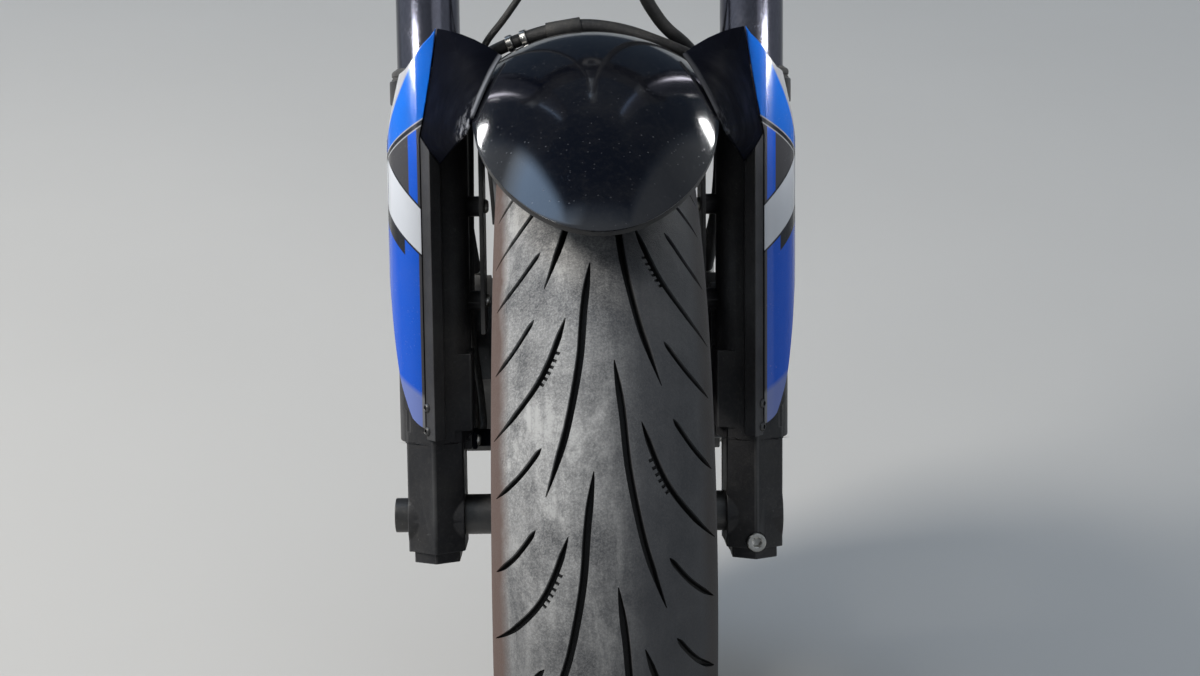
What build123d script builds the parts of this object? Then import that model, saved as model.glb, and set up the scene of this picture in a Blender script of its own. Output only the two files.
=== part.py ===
from build123d import *
import math
import os

# Front end of a sport touring motorcycle: telescopic fork, wheel, brakes and mudguard.
# Millimetres. The solids are made in the fork's own frame: origin on the wheel axle,
# X to the rider's left, Y backwards across the legs, Z up along the legs.
# LEG_FRAME then leans everything back by the rake and puts the origin on the steering stem.

# Overall layout
RAKE = 25.0
LEG_SPACING = 220.0
YOKE_OFFSET = 30.0
LEG_X = LEG_SPACING / 2

# Fork tubes and lower legs
TUBE_RADIUS = 21.5
TUBE_WALL = 2.6
TUBE_BOTTOM = 120.0
TUBE_TOP = 715.0
TUBE_MARK_BELOW_TOP = 36.0
TUBE_MARK_WIDTH = 1.5
TUBE_MARK_DEPTH = 0.4
CLAMP_CLEARANCE = 0.05
SLIDER_RADIUS = 25.0
SLIDER_BORE_CLEARANCE = 0.4
SLIDER_TOP = 300.0
COLLAR_RADIUS = 26.8
COLLAR_HEIGHT = 16.0
SEAL_HEIGHT = 8.0
SEAL_LIP_CLEARANCE = 0.05

# Axle lug at the foot of each lower leg
LUG_WIDTH = 39.0
LUG_FRONT = 29.0
LUG_SIDE_FRONT = 17.0
LUG_BACK = 20.0
LUG_BOTTOM = 22.0
LUG_TOP = 62.0
LUG_BOSS_RADIUS = 22.0
SLIDER_ROOT = 8.0
CASTING_FRONT_INSET = 3.0
LUG_ROUNDING = 3.0
LUG_RIDGE_ROUNDING = 2.0
FOOT_DEPTH = 7.5
FOOT_INSET = 4.0
CASTING_INNER_X = 84.0
CASTING_TOP = 115.0
PINCH_SLOT_WIDTH = 2.5
PINCH_BOLT_DROP = 17.0
PINCH_HEAD_RADIUS = 6.5
PINCH_SHANK_RADIUS = 4.0

# Axle, spacers and bearings
AXLE_RADIUS = 10.0
AXLE_BORE_RADIUS = 6.5
AXLE_HEAD_RADIUS = 12.0
AXLE_HEAD_LENGTH = 10.0
AXLE_FIT_CLEARANCE = 0.05
AXLE_END_INSET = 3.0
AXLE_KEY_FLATS = 14.0
AXLE_KEY_DEPTH = 9.0
SPACER_RADIUS = 14.0
SIDE_GAP = 0.3
BEARING_RADIUS = 21.0
BEARING_WIDTH = 13.0
PRESS_CLEARANCE = 0.03

# Wheel
HUB_FACE_X = 52.0
HUB_RADIUS = 33.0
HUB_FLANGE_RADIUS = 46.0
HUB_FLANGE_THICKNESS = 10.0
RIM_HALF_WIDTH = 50.0
RIM_FLANGE_THICKNESS = 5.5
RIM_FLANGE_RADIUS = 231.0
BEAD_SEAT_RADIUS = 218.0
RIM_WELL_RADIUS = 203.0
RIM_WELL_HALF_WIDTH = 18.0
RIM_WALL = 6.0
SPOKE_COUNT = 10
SPOKE_ROOT_WIDTH = 24.0
SPOKE_TIP_WIDTH = 15.0
SPOKE_ROOT_DEPTH = 38.0
SPOKE_TIP_DEPTH = 26.0
SPOKE_ROUNDING = 6.0
VALVE_RADIUS = 4.0
VALVE_LENGTH = 34.0
VALVE_ANGLE = 180.0 + RAKE

# Tyre
TYRE_RADIUS = 300.0
TYRE_WIDTH = 120.0
TYRE_HALF_WIDTH = TYRE_WIDTH / 2
TYRE_SHOULDER_RADIUS = 262.0
TYRE_WALL = 9.0
BEAD_CLEARANCE = 0.3
BEAD_TOE_X = 33.0

# Brake discs and carriers
DISC_RADIUS = 149.0
DISC_INNER_RADIUS = 117.0
DISC_THICKNESS = 4.5
DISC_X = 62.0
DISC_HOLE_RADIUS = 3.5
DISC_HOLE_ROWS = 3
DISC_HOLE_ROW_TURN = 6.0
DISC_HOLES_PER_ROW = 10
CARRIER_THICKNESS = 5.5
CARRIER_CLEARANCE = 0.4
CARRIER_ARMS = 5
CARRIER_RING_INNER = 100.0
CARRIER_ARM_WIDTH = 20.0
BOBBIN_RADIUS = 6.0
BOBBIN_COUNT = 10
DISC_BOLT_CIRCLE = 37.0
DISC_BOLT_RADIUS = 5.5
DISC_BOLT_HEAD = 4.5
SPEED_RING_RADIUS = 58.0
SPEED_RING_WIDTH = 9.0
SPEED_RING_THICKNESS = 2.0
SPEED_RING_SLOTS = 24

# Calipers, pads and their lugs, the caliper's centre line leaning back from the leg
CALIPER_ANGLE = 47.0
CALIPER_SWEEP = 26.0
CALIPER_INNER_RADIUS = 97.0
CALIPER_OUTER_RADIUS = 176.0
CALIPER_INNER_X = 27.0
CALIPER_OUTER_X = 97.0
CALIPER_DISC_GAP = 2.5
CALIPER_EDGE_GAP = 4.0
CALIPER_CHAMFER = 5.0
CALIPER_GROOVE_DEPTH = 2.5
CALIPER_GROOVE_SHARES = (0.36, 0.5, 0.64)
PISTON_RADIUS = 17.0
PISTON_OFFSET = 23.0
PISTON_CAP_HEIGHT = 5.0
PAD_ROOM_SWEEP = 18.0
PAD_SWEEP = 17.0
PAD_THICKNESS = 8.0
PAD_RUNNING_GAP = 0.5
PAD_SEAT_GAP = 0.3
PAD_TOP_INSET = 2.0
CALIPER_LUG_Y = 46.0
CALIPER_LUG_HEIGHTS = (56.0, 146.0)
CALIPER_LUG_RADIUS = 12.0
CALIPER_LUG_WIDTH = 13.0
CALIPER_BOLT_RADIUS = 5.0
CALIPER_BOLT_HEAD_RADIUS = 8.0
CALIPER_BOLT_HEAD = 7.0
FLANGE_THICKNESS = 12.0

# Steering stem and lower yoke
YOKE_BOTTOM = 470.0
YOKE_HEIGHT = 38.0
YOKE_CLAMP_RADIUS = 30.0
YOKE_BOSS_RADIUS = 29.0
YOKE_WEB_WIDTH = 34.0
YOKE_SLOT_WIDTH = 3.0
YOKE_EAR_HALF_WIDTH = 13.0
YOKE_EAR_DEPTH = 12.0
YOKE_POCKET_FLOOR = 10.0
YOKE_ROUNDING = 4.0
YOKE_STOP_WIDTH = 12.0
YOKE_STOP_HEIGHT = 16.0
YOKE_STOP_X = 22.0
YOKE_BOLT_SHARES = (0.27, 0.73)
YOKE_BOLT_RADIUS = 4.0
YOKE_BOLT_HEAD_RADIUS = 6.5
STEM_SEAT_RADIUS = 15.0
STEM_RADIUS = 13.0
STEM_WALL = 4.0
STEM_SHOULDER = 666.0
STEM_TOP = 716.0
STEM_FOOT = 4.0
STEM_NECK_RADIUS = 11.0
STEM_BEARING_RADIUS = 24.0
STEM_BEARING_HEIGHT = 15.0
CAP_HEIGHT = 6.0
CAP_INSET = 0.4
CAP_HEX_FLATS = 24.0
CAP_HEX_HEIGHT = 7.0

# Mudguard
BLADE_TYRE_GAP = 31.0
BLADE_RADIUS = TYRE_RADIUS + BLADE_TYRE_GAP
BLADE_CROWN_RADIUS = 113.0
BLADE_HALF_WIDTH = 73.0
BLADE_THICKNESS = 3.0
BLADE_TIP_REACH = 149.0
BLADE_REAR_ANGLE = 66.0
SKIRT_FRONT_ANGLE = 22.0
SKIRT_INNER_RADIUS = 262.0
SKIRT_WIDTH = 4.0
SKIRT_OUTER_X = BLADE_HALF_WIDTH + SKIRT_WIDTH
STAY_HALF_WIDTH = 17.0
STAY_BOTTOM = 128.0
STAY_BOSS_RADIUS = 7.0
STAY_BOSS_HEIGHTS = (150.0, 215.0)
PLASTIC_THICKNESS = 2.6
PANEL_GAP = 0.3

# Fork covers: seam and foot on the mudguard's flank
# as (share of its half width, degrees forwards from straight up)
COVER_SEAM = ((0.993, 3.5), (0.885, -3.5), (0.785, -12.0))
COVER_SEAM_LIFT = 4.0
COVER_FOOT = ((1.06, 5.2), (1.045, 4.4))
COVER_ROWS = 5
COVER_COLUMNS = 5
COVER_BULGE = 5.0
COVER_TOP_RISE = 3.5
COVER_TOP_BACK = 4.0
COVER_WALL = 2.0

# Leg guards and their dark front trim
GUARD_RADIUS = 30.0
GUARD_TOP = 333.0
GUARD_FOOT = 62.0
GUARD_CREASE_OUT = 4.4
GUARD_TIP_IN = 8.0
GUARD_SHOULDER = 262.0
GUARD_EDGE_GAP = 0.6
GUARD_EDGE_SAG = 5.0
GUARD_EDGE_STEPS = 5
GUARD_EDGE_FALL = 2.0
TRIM_RIDGE_IN = 2.0
TRIM_RIDGE_FORWARD = 8.5
TRIM_INNER_IN = 8.5
TRIM_INNER_Y = 31.0
TRIM_FOOT = 58.0
TRIM_INNER_TOP = 243.0
GUARD_CREASE_X = LEG_X + GUARD_CREASE_OUT
GUARD_TIP_X = LEG_X - GUARD_TIP_IN
TRIM_RIDGE_X = LEG_X - TRIM_RIDGE_IN
TRIM_RIDGE_Y = GUARD_RADIUS + TRIM_RIDGE_FORWARD
TRIM_INNER_X = LEG_X - TRIM_INNER_IN
# The guard's slanting top edge as (outwards from the leg's line, down from the top)
GUARD_TOP_EDGE = (
    (-4.0, 5.0), (1.0, 10.0), (5.2, 15.0), (8.0, 19.5), (14.0, 27.0),
    (18.0, 29.5), (21.5, 42.0), (25.7, 57.0), (29.0, 72.0),
)
# Its rear edge as (behind the leg's line, down from the top)
GUARD_REAR_EDGE = (
    (4.0, 74.0), (11.0, 92.0), (9.0, 118.0), (-10.0, 183.0),
    (-20.0, 235.0), (-23.6, 248.5), (-26.4, 260.5), (-31.0, 271.0),
)
GUARD_BOSS_RADIUS = 6.0
GUARD_BOSS_HEIGHTS = (82.0, 284.0)
GUARD_BOSS_ANGLE = 52.0

# Hoses and their clips
HOSE_RADIUS = 4.5
WIRE_RADIUS = 2.4
BANJO_RADIUS = 8.0
BANJO_HEIGHT = 9.6
BANJO_X = 85.0
BANJO_ANGLE = 30.0
BANJO_BOLT_FLATS = 12.0
BANJO_BOLT_HEAD = 5.0

# Wheel speed sensor on the left leg
SENSOR_RADIUS = 6.0
SENSOR_AIR_GAP = 5.0
SENSOR_FLANGE = 3.0
SENSOR_FLANGE_REACH = 13.0
SENSOR_Y = 4.0

YOKE_TOP = YOKE_BOTTOM + YOKE_HEIGHT
STEM_MOUNT_Z = (YOKE_TOP + STEM_BEARING_HEIGHT + STEM_SHOULDER) / 2
LEG_FRAME = Rot(-RAKE, 0, 0) * Pos(0, -YOKE_OFFSET, -STEM_MOUNT_Z)
SIDES = {"left": -1, "right": 1}

parts = {}


def add(name, shape):
    """Keep one named sub-part, moved from the fork's frame to the part's frame."""
    parts[name] = LEG_FRAME * shape


def along_z(radius, bottom, top, x=0.0, y=0.0):
    """Cylinder along the legs between two heights."""
    return Pos(x, y, (bottom + top) / 2) * Cylinder(radius, top - bottom)


def along_x(radius, start, end, y=0.0, z=0.0):
    """Cylinder along the axle between two places."""
    return Pos((start + end) / 2, y, z) * Rot(0, 90, 0) * Cylinder(radius, abs(end - start))


def along_y(radius, start, end, x=0.0, z=0.0):
    """Cylinder from front to back between two places."""
    return Pos(x, (start + end) / 2, z) * Rot(90, 0, 0) * Cylinder(radius, abs(end - start))


def block(x0, x1, y0, y1, z0, z1):
    """Box between two corners."""
    return Pos((x0 + x1) / 2, (y0 + y1) / 2, (z0 + z1) / 2) * Box(abs(x1 - x0), abs(y1 - y0), abs(z1 - z0))


def side_of(shape, side):
    """The shape as modelled for the right side, or its mirror image for the left."""
    return shape if side > 0 else mirror(shape, about=Plane.YZ)


def hexagon_bar(flats, height):
    """Hexagonal bar standing on its base, given its width across flats."""
    return extrude(RegularPolygon(flats / 2, 6, major_radius=False), height)


def prism_x(points, start, end):
    """Extrusion along the axle of an outline given as (y, z) points."""
    outline = make_face(Polyline(*[(start, y, z) for y, z in points], close=True))
    return extrude(outline, amount=end - start, dir=(1, 0, 0))


def prism_y(points, start, end):
    """Extrusion from front to back of an outline given as (x, z) points."""
    outline = make_face(Polyline(*[(x, start, z) for x, z in points], close=True))
    return extrude(outline, amount=end - start, dir=(0, 1, 0))


def prism_z(points, bottom, top, rounding=0.0):
    """Extrusion along the legs of an outline given as (x, y) points, its corners rounded."""
    outline = make_face(Polyline(*[(x, y, bottom) for x, y in points], close=True))
    if rounding:
        outline = fillet(outline.vertices(), rounding)
    return extrude(outline, amount=top - bottom, dir=(0, 0, 1))


def turned(lines):
    """Solid of revolution about the axle of a closed outline in the X-Z plane."""
    return revolve(make_face(lines), axis=Axis.X, revolution_arc=360)


def fork_tube(x):
    """Hard-chromed tube, open inside, with the turned mark that shows the upper yoke's place."""
    mark = TUBE_TOP - TUBE_MARK_BELOW_TOP
    outer = along_z(TUBE_RADIUS, TUBE_BOTTOM, mark - TUBE_MARK_WIDTH, x)
    outer += along_z(TUBE_RADIUS - TUBE_MARK_DEPTH, mark - TUBE_MARK_WIDTH, mark, x)
    outer += along_z(TUBE_RADIUS, mark, TUBE_TOP, x)
    return outer - along_z(TUBE_RADIUS - TUBE_WALL, TUBE_BOTTOM - 1, TUBE_TOP + 1, x)


def v_front(half_in, half_out, front, side_front, back):
    """Plan outline of the casting about the leg's axis, with its vertical front ridge."""
    return [
        (LEG_X - half_in, -side_front),
        (LEG_X, -front),
        (LEG_X + half_out, -side_front),
        (LEG_X + half_out, back),
        (LEG_X - half_in, back),
    ]


def lower_leg():
    """Right lower leg: slider, collar, axle lug with foot, caliper ears and panel bosses."""
    half = LUG_WIDTH / 2
    body = along_z(SLIDER_RADIUS, LUG_TOP - SLIDER_ROOT, SLIDER_TOP, LEG_X)
    body += along_z(COLLAR_RADIUS, SLIDER_TOP - COLLAR_HEIGHT, SLIDER_TOP, LEG_X)
    lug = v_front(half, half, LUG_FRONT, LUG_SIDE_FRONT, LUG_BACK)
    body += prism_z(lug, -LUG_BOTTOM, LUG_TOP, LUG_ROUNDING)
    inner = LEG_X - CASTING_INNER_X
    casting = v_front(inner, half, LUG_FRONT - CASTING_FRONT_INSET, LUG_SIDE_FRONT, LUG_BACK)
    body += prism_z(casting, LUG_TOP, CASTING_TOP, LUG_RIDGE_ROUNDING)
    side = half - FOOT_INSET
    foot = v_front(side, side, LUG_FRONT - FOOT_INSET, LUG_SIDE_FRONT, LUG_BACK - FOOT_INSET)
    body += prism_z(foot, -LUG_BOTTOM - FOOT_DEPTH, -LUG_BOTTOM, LUG_RIDGE_ROUNDING)
    body += along_x(LUG_BOSS_RADIUS, LEG_X - half, LEG_X + half)
    ear_x = CALIPER_OUTER_X + PANEL_GAP
    ear_end = ear_x + CALIPER_LUG_WIDTH
    for height in CALIPER_LUG_HEIGHTS:
        low, high = height - CALIPER_LUG_RADIUS, height + CALIPER_LUG_RADIUS
        body += along_x(CALIPER_LUG_RADIUS, ear_x, ear_end, CALIPER_LUG_Y, height)
        body += block(ear_x, ear_end, 0, CALIPER_LUG_Y, low, high)
    for height in STAY_BOSS_HEIGHTS:
        body += along_x(STAY_BOSS_RADIUS, SKIRT_OUTER_X + PANEL_GAP, LEG_X, 0, height)
    for height in GUARD_BOSS_HEIGHTS:
        reach = math.sqrt((GUARD_RADIUS - PLASTIC_THICKNESS) ** 2 - GUARD_BOSS_RADIUS ** 2) - PANEL_GAP
        boss = Pos(reach / 2, 0, 0) * Rot(0, 90, 0) * Cylinder(GUARD_BOSS_RADIUS, reach)
        body += Pos(LEG_X, 0, height) * Rot(0, 0, -GUARD_BOSS_ANGLE) * boss
    body -= along_z(TUBE_RADIUS + SLIDER_BORE_CLEARANCE, CASTING_TOP - 10, SLIDER_TOP + 1, LEG_X)
    body -= along_x(AXLE_RADIUS + AXLE_FIT_CLEARANCE, LEG_X - half - 1, LEG_X + half + 1)
    bolt_hole = CALIPER_BOLT_RADIUS + AXLE_FIT_CLEARANCE
    for height in CALIPER_LUG_HEIGHTS:
        body -= along_x(bolt_hole, ear_x - 1, ear_end + 1, CALIPER_LUG_Y, height)
    return body


def pinched(leg):
    """Lower leg with the slot and the cross hole of the axle's pinch bolt."""
    half = LUG_WIDTH / 2
    slot = block(
        LEG_X - half - 1, LEG_X + half + 1,
        -PINCH_SLOT_WIDTH / 2, PINCH_SLOT_WIDTH / 2,
        -LUG_BOTTOM - FOOT_DEPTH - 1, 0,
    )
    shank = PINCH_SHANK_RADIUS + AXLE_FIT_CLEARANCE
    hole = along_y(shank, -LUG_FRONT - 1, LUG_BACK - 6, LEG_X, -PINCH_BOLT_DROP)
    seat = along_y(PINCH_HEAD_RADIUS + 0.5, -LUG_FRONT - 1, -LUG_SIDE_FRONT - 4, LEG_X, -PINCH_BOLT_DROP)
    return leg - slot - hole - seat


def caliper_turn(shape):
    """Swing a shape modelled on the leg's line round the axle to the caliper's place."""
    return Rot(-CALIPER_ANGLE, 0, 0) * shape


def sector(inner, outer, sweep, start, end):
    """Slice of a ring about the axle, centred on the leg's line."""
    reach = outer * 1.2
    tangent = math.tan(math.radians(sweep)) * reach
    wedge = prism_x([(0, 0), (tangent, reach), (-tangent, reach)], start, end)
    return (along_x(outer, start, end) - along_x(inner, start, end)) & wedge


def chamfered_ring(radius, start, end, chamfer):
    """Disc about the axle whose rims are chamfered."""
    points = [
        (start, 0), (start, radius - chamfer), (start + chamfer, radius),
        (end - chamfer, radius), (end, radius - chamfer), (end, 0),
    ]
    return turned(Polyline(*[(x, 0, z) for x, z in points], close=True))


def caliper():
    """Right caliper: two halves over the disc, bridges, piston bores' caps and mounting flange."""
    body = sector(CALIPER_INNER_RADIUS, CALIPER_OUTER_RADIUS, CALIPER_SWEEP, CALIPER_INNER_X, CALIPER_OUTER_X)
    disc_half = DISC_THICKNESS / 2 + CALIPER_DISC_GAP
    edge = DISC_RADIUS + CALIPER_EDGE_GAP
    body -= along_x(edge, DISC_X - disc_half, DISC_X + disc_half)
    room = DISC_THICKNESS / 2 + PAD_RUNNING_GAP + PAD_THICKNESS + PAD_SEAT_GAP
    body -= sector(0.1, edge, PAD_ROOM_SWEEP, DISC_X - room, DISC_X + room)
    body -= along_x(pad_inner_radius(), DISC_X - room, DISC_X + room)
    window = sector(0.1, CALIPER_OUTER_RADIUS + 5, PAD_ROOM_SWEEP * 0.55, DISC_X - room, DISC_X + room)
    body -= window
    body &= chamfered_ring(CALIPER_OUTER_RADIUS, CALIPER_INNER_X, CALIPER_OUTER_X, CALIPER_CHAMFER)
    depth = CALIPER_GROOVE_DEPTH
    for share in CALIPER_GROOVE_SHARES:
        x = CALIPER_INNER_X + share * (CALIPER_OUTER_X - CALIPER_INNER_X)
        groove = along_x(CALIPER_OUTER_RADIUS + 1, x - depth / 2, x + depth / 2)
        body -= groove - along_x(CALIPER_OUTER_RADIUS - depth, x - depth, x + depth)
    mid = (CALIPER_INNER_RADIUS + edge) / 2 + 4
    for side in (-1, 1):
        cap_end = CALIPER_OUTER_X + PISTON_CAP_HEIGHT
        body += along_x(PISTON_RADIUS, CALIPER_OUTER_X, cap_end, side * PISTON_OFFSET, mid)
    body = caliper_turn(body)
    flange_x = CALIPER_OUTER_X - FLANGE_THICKNESS
    low, high = CALIPER_LUG_HEIGHTS
    middle = math.radians(CALIPER_ANGLE)
    reach = CALIPER_INNER_RADIUS + 6
    arm = [
        (CALIPER_LUG_Y - 9, low - 6),
        (CALIPER_LUG_Y + 6, low - 10),
        (reach * math.sin(middle + 0.28), reach * math.cos(middle + 0.28)),
        (reach * math.sin(middle - 0.28), reach * math.cos(middle - 0.28)),
        (CALIPER_LUG_Y + 20, high - 4),
        (CALIPER_LUG_Y + 4, high + 10),
        (CALIPER_LUG_Y - 9, high + 4),
    ]
    flange = prism_x(arm, flange_x, CALIPER_OUTER_X)
    for height in CALIPER_LUG_HEIGHTS:
        flange += along_x(CALIPER_LUG_RADIUS, flange_x, CALIPER_OUTER_X, CALIPER_LUG_Y, height)
    flange -= caliper_turn(sector(0.1, edge, PAD_ROOM_SWEEP, DISC_X - room, DISC_X + room))
    body += flange
    bolt_hole = CALIPER_BOLT_RADIUS + AXLE_FIT_CLEARANCE
    for height in CALIPER_LUG_HEIGHTS:
        body -= along_x(bolt_hole, flange_x - 1, CALIPER_OUTER_X + 1, CALIPER_LUG_Y, height)
    return body


def pad_inner_radius():
    """Foot of the pads, just outside the disc's bobbins."""
    return DISC_INNER_RADIUS + BOBBIN_RADIUS + 1


def brake_pads():
    """The two pads of the right caliper, each a plate with its lining."""
    pads = []
    face = DISC_THICKNESS / 2 + PAD_RUNNING_GAP
    top = DISC_RADIUS + CALIPER_EDGE_GAP - PAD_TOP_INSET
    for side in (-1, 1):
        start = DISC_X + side * face
        end = DISC_X + side * (face + PAD_THICKNESS)
        pad = sector(pad_inner_radius(), top, PAD_SWEEP, min(start, end), max(start, end))
        pads.append(caliper_turn(pad))
    return Compound(children=pads)


def caliper_bolts():
    """The two bolts that hold the right caliper to its ears."""
    bolts = []
    start = CALIPER_OUTER_X - FLANGE_THICKNESS
    face = CALIPER_OUTER_X + PANEL_GAP + CALIPER_LUG_WIDTH
    for height in CALIPER_LUG_HEIGHTS:
        bolt = along_x(CALIPER_BOLT_RADIUS, start, face, CALIPER_LUG_Y, height)
        bolt += along_x(CALIPER_BOLT_HEAD_RADIUS, face, face + CALIPER_BOLT_HEAD, CALIPER_LUG_Y, height)
        bolts.append(bolt)
    return Compound(children=bolts)


def axle():
    """Hollow axle with its head outside the left leg."""
    outer = LEG_X + LUG_WIDTH / 2
    shaft = along_x(AXLE_RADIUS, -outer, outer - AXLE_END_INSET)
    shaft += along_x(AXLE_HEAD_RADIUS, -outer - AXLE_HEAD_LENGTH, -outer)
    shaft -= along_x(AXLE_BORE_RADIUS, -outer - AXLE_HEAD_LENGTH - 1, outer)
    key = Pos(-outer - AXLE_HEAD_LENGTH, 0, 0) * Rot(0, 90, 0) * hexagon_bar(AXLE_KEY_FLATS, AXLE_KEY_DEPTH)
    return shaft - key


def spacer():
    """Right wheel spacer between the leg's inner face and the bearing."""
    start = HUB_FACE_X + SIDE_GAP
    end = LEG_X - LUG_WIDTH / 2
    ring = along_x(SPACER_RADIUS, start, end)
    return ring - along_x(AXLE_RADIUS + AXLE_FIT_CLEARANCE, start - 1, end + 1)


def wheel_rim():
    """Cast wheel: rim barrel with drop well and flanges, spokes in pairs, hub with disc seats."""
    half = RIM_HALF_WIDTH
    seat = half - RIM_FLANGE_THICKNESS
    well = RIM_WELL_HALF_WIDTH
    ramp = RIM_WELL_HALF_WIDTH + 9
    outer = [
        (-half, RIM_FLANGE_RADIUS),
        (-seat, RIM_FLANGE_RADIUS),
        (-seat, BEAD_SEAT_RADIUS),
        (-ramp, BEAD_SEAT_RADIUS),
        (-well, RIM_WELL_RADIUS),
        (well, RIM_WELL_RADIUS),
        (ramp, BEAD_SEAT_RADIUS),
        (seat, BEAD_SEAT_RADIUS),
        (seat, RIM_FLANGE_RADIUS),
        (half, RIM_FLANGE_RADIUS),
        (half, BEAD_SEAT_RADIUS - RIM_WALL + 3),
        (ramp + 3, BEAD_SEAT_RADIUS - RIM_WALL),
        (well + 3, RIM_WELL_RADIUS - RIM_WALL),
        (-well - 3, RIM_WELL_RADIUS - RIM_WALL),
        (-ramp - 3, BEAD_SEAT_RADIUS - RIM_WALL),
        (-half, BEAD_SEAT_RADIUS - RIM_WALL + 3),
    ]
    body = turned(Polyline(*[(x, 0, z) for x, z in outer], close=True))
    body += along_x(HUB_RADIUS, -HUB_FACE_X, HUB_FACE_X)
    for side in (-1, 1):
        start, end = sorted((side * (HUB_FACE_X - HUB_FLANGE_THICKNESS), side * HUB_FACE_X))
        body += along_x(HUB_FLANGE_RADIUS, start, end)
    root = HUB_RADIUS - 6
    tip = RIM_WELL_RADIUS - RIM_WALL / 2
    low = Pos(0, 0, root) * RectangleRounded(SPOKE_ROOT_DEPTH, SPOKE_ROOT_WIDTH, SPOKE_ROUNDING)
    high = Pos(0, 0, tip) * RectangleRounded(SPOKE_TIP_DEPTH, SPOKE_TIP_WIDTH, SPOKE_ROUNDING)
    spoke = loft([low, high])
    for count in range(SPOKE_COUNT):
        body += Rot(VALVE_ANGLE + (count + 0.5) * 360 / SPOKE_COUNT, 0, 0) * spoke
    body -= along_x(SPACER_RADIUS + 1, -HUB_FACE_X - 1, HUB_FACE_X + 1)
    for side in (-1, 1):
        seat_face = side * (HUB_FACE_X - BEARING_WIDTH)
        mouth = side * (HUB_FACE_X + 1)
        body -= along_x(BEARING_RADIUS + PRESS_CLEARANCE, min(seat_face, mouth), max(seat_face, mouth))
    return body


def wheel_bearings():
    """Sealed ball bearings in the hub, one at each face."""
    rings = []
    for side in (-1, 1):
        inner_face = side * (HUB_FACE_X - BEARING_WIDTH)
        start, end = sorted((inner_face, side * HUB_FACE_X))
        ring = along_x(BEARING_RADIUS, start, end)
        rings.append(ring - along_x(AXLE_RADIUS + AXLE_FIT_CLEARANCE, start - 1, end + 1))
    return Compound(children=rings)


def valve():
    """Tyre valve on the well of the rim, pointing at the hub, at the wheel's lowest place."""
    start = RIM_WELL_RADIUS - RIM_WALL - VALVE_LENGTH
    stem = along_z(VALVE_RADIUS, start, RIM_WELL_RADIUS - RIM_WALL - PANEL_GAP)
    stem += along_z(VALVE_RADIUS + 1.2, start, start + 9)
    return Rot(VALVE_ANGLE, 0, 0) * stem


def tyre():
    """Radial tyre with its round crown, hollow inside, beads against the rim's flanges."""
    seat = RIM_HALF_WIDTH - RIM_FLANGE_THICKNESS - BEAD_CLEARANCE
    bead = BEAD_SEAT_RADIUS + BEAD_CLEARANCE
    lip = RIM_FLANGE_RADIUS + BEAD_CLEARANCE
    wide = TYRE_HALF_WIDTH
    shoulder = TYRE_SHOULDER_RADIUS
    crown_mid = wide * 0.72
    crown_drop = (TYRE_RADIUS - shoulder) * 0.3
    foot = lip + 1.5
    left_out = Polyline((-seat, 0, bead), (-seat, 0, lip), (-RIM_HALF_WIDTH, 0, foot))
    wall_out = ThreePointArc((-RIM_HALF_WIDTH, 0, foot), (-wide + 2.2, 0, lip + 13), (-wide, 0, shoulder))
    crown_z = TYRE_RADIUS - crown_drop * 1.32
    crown_left = ThreePointArc((-wide, 0, shoulder), (-crown_mid, 0, crown_z), (0, 0, TYRE_RADIUS))
    crown_right = ThreePointArc((0, 0, TYRE_RADIUS), (crown_mid, 0, crown_z), (wide, 0, shoulder))
    wall_right = ThreePointArc((wide, 0, shoulder), (wide - 2.2, 0, lip + 13), (RIM_HALF_WIDTH, 0, foot))
    right_out = Polyline((RIM_HALF_WIDTH, 0, foot), (seat, 0, lip), (seat, 0, bead), (BEAD_TOE_X, 0, bead))
    toe_right = Line((BEAD_TOE_X, 0, bead), (seat - 4, 0, lip + 3))
    inner_right = ThreePointArc(
        (seat - 4, 0, lip + 3),
        (wide - TYRE_WALL + 3, 0, shoulder - 4),
        (crown_mid - 9, 0, TYRE_RADIUS - TYRE_WALL - 13),
    )
    inner_crown = ThreePointArc(
        (crown_mid - 9, 0, TYRE_RADIUS - TYRE_WALL - 13),
        (0, 0, TYRE_RADIUS - TYRE_WALL),
        (-crown_mid + 9, 0, TYRE_RADIUS - TYRE_WALL - 13),
    )
    inner_left = ThreePointArc(
        (-crown_mid + 9, 0, TYRE_RADIUS - TYRE_WALL - 13),
        (-wide + TYRE_WALL - 3, 0, shoulder - 4),
        (-seat + 4, 0, lip + 3),
    )
    toe_left = Polyline((-seat + 4, 0, lip + 3), (-BEAD_TOE_X, 0, bead), (-seat, 0, bead))
    outline = left_out + wall_out + crown_left + crown_right + wall_right + right_out
    outline += toe_right + inner_right + inner_crown + inner_left + toe_left
    return turned(outline)


def brake_disc(x):
    """Floating disc with its rows of drilled holes."""
    half = DISC_THICKNESS / 2
    ring = along_x(DISC_RADIUS, x - half, x + half)
    ring -= along_x(DISC_INNER_RADIUS, x - half - 1, x + half + 1)
    step = 360 / DISC_HOLES_PER_ROW
    holes = []
    room = (DISC_RADIUS - DISC_INNER_RADIUS) / (DISC_HOLE_ROWS + 1)
    for row in range(DISC_HOLE_ROWS):
        radius = DISC_INNER_RADIUS + (row + 1) * room
        phase = row * DISC_HOLE_ROW_TURN
        for count in range(DISC_HOLES_PER_ROW):
            hole = along_x(DISC_HOLE_RADIUS, x - half - 1, x + half + 1, 0, radius)
            holes.append(Rot(count * step + phase, 0, 0) * hole)
    for count in range(BOBBIN_COUNT):
        notch = along_x(BOBBIN_RADIUS + CARRIER_CLEARANCE, x - half - 1, x + half + 1, 0, DISC_INNER_RADIUS)
        holes.append(Rot(count * 360 / BOBBIN_COUNT + 18, 0, 0) * notch)
    return ring - holes


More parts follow.
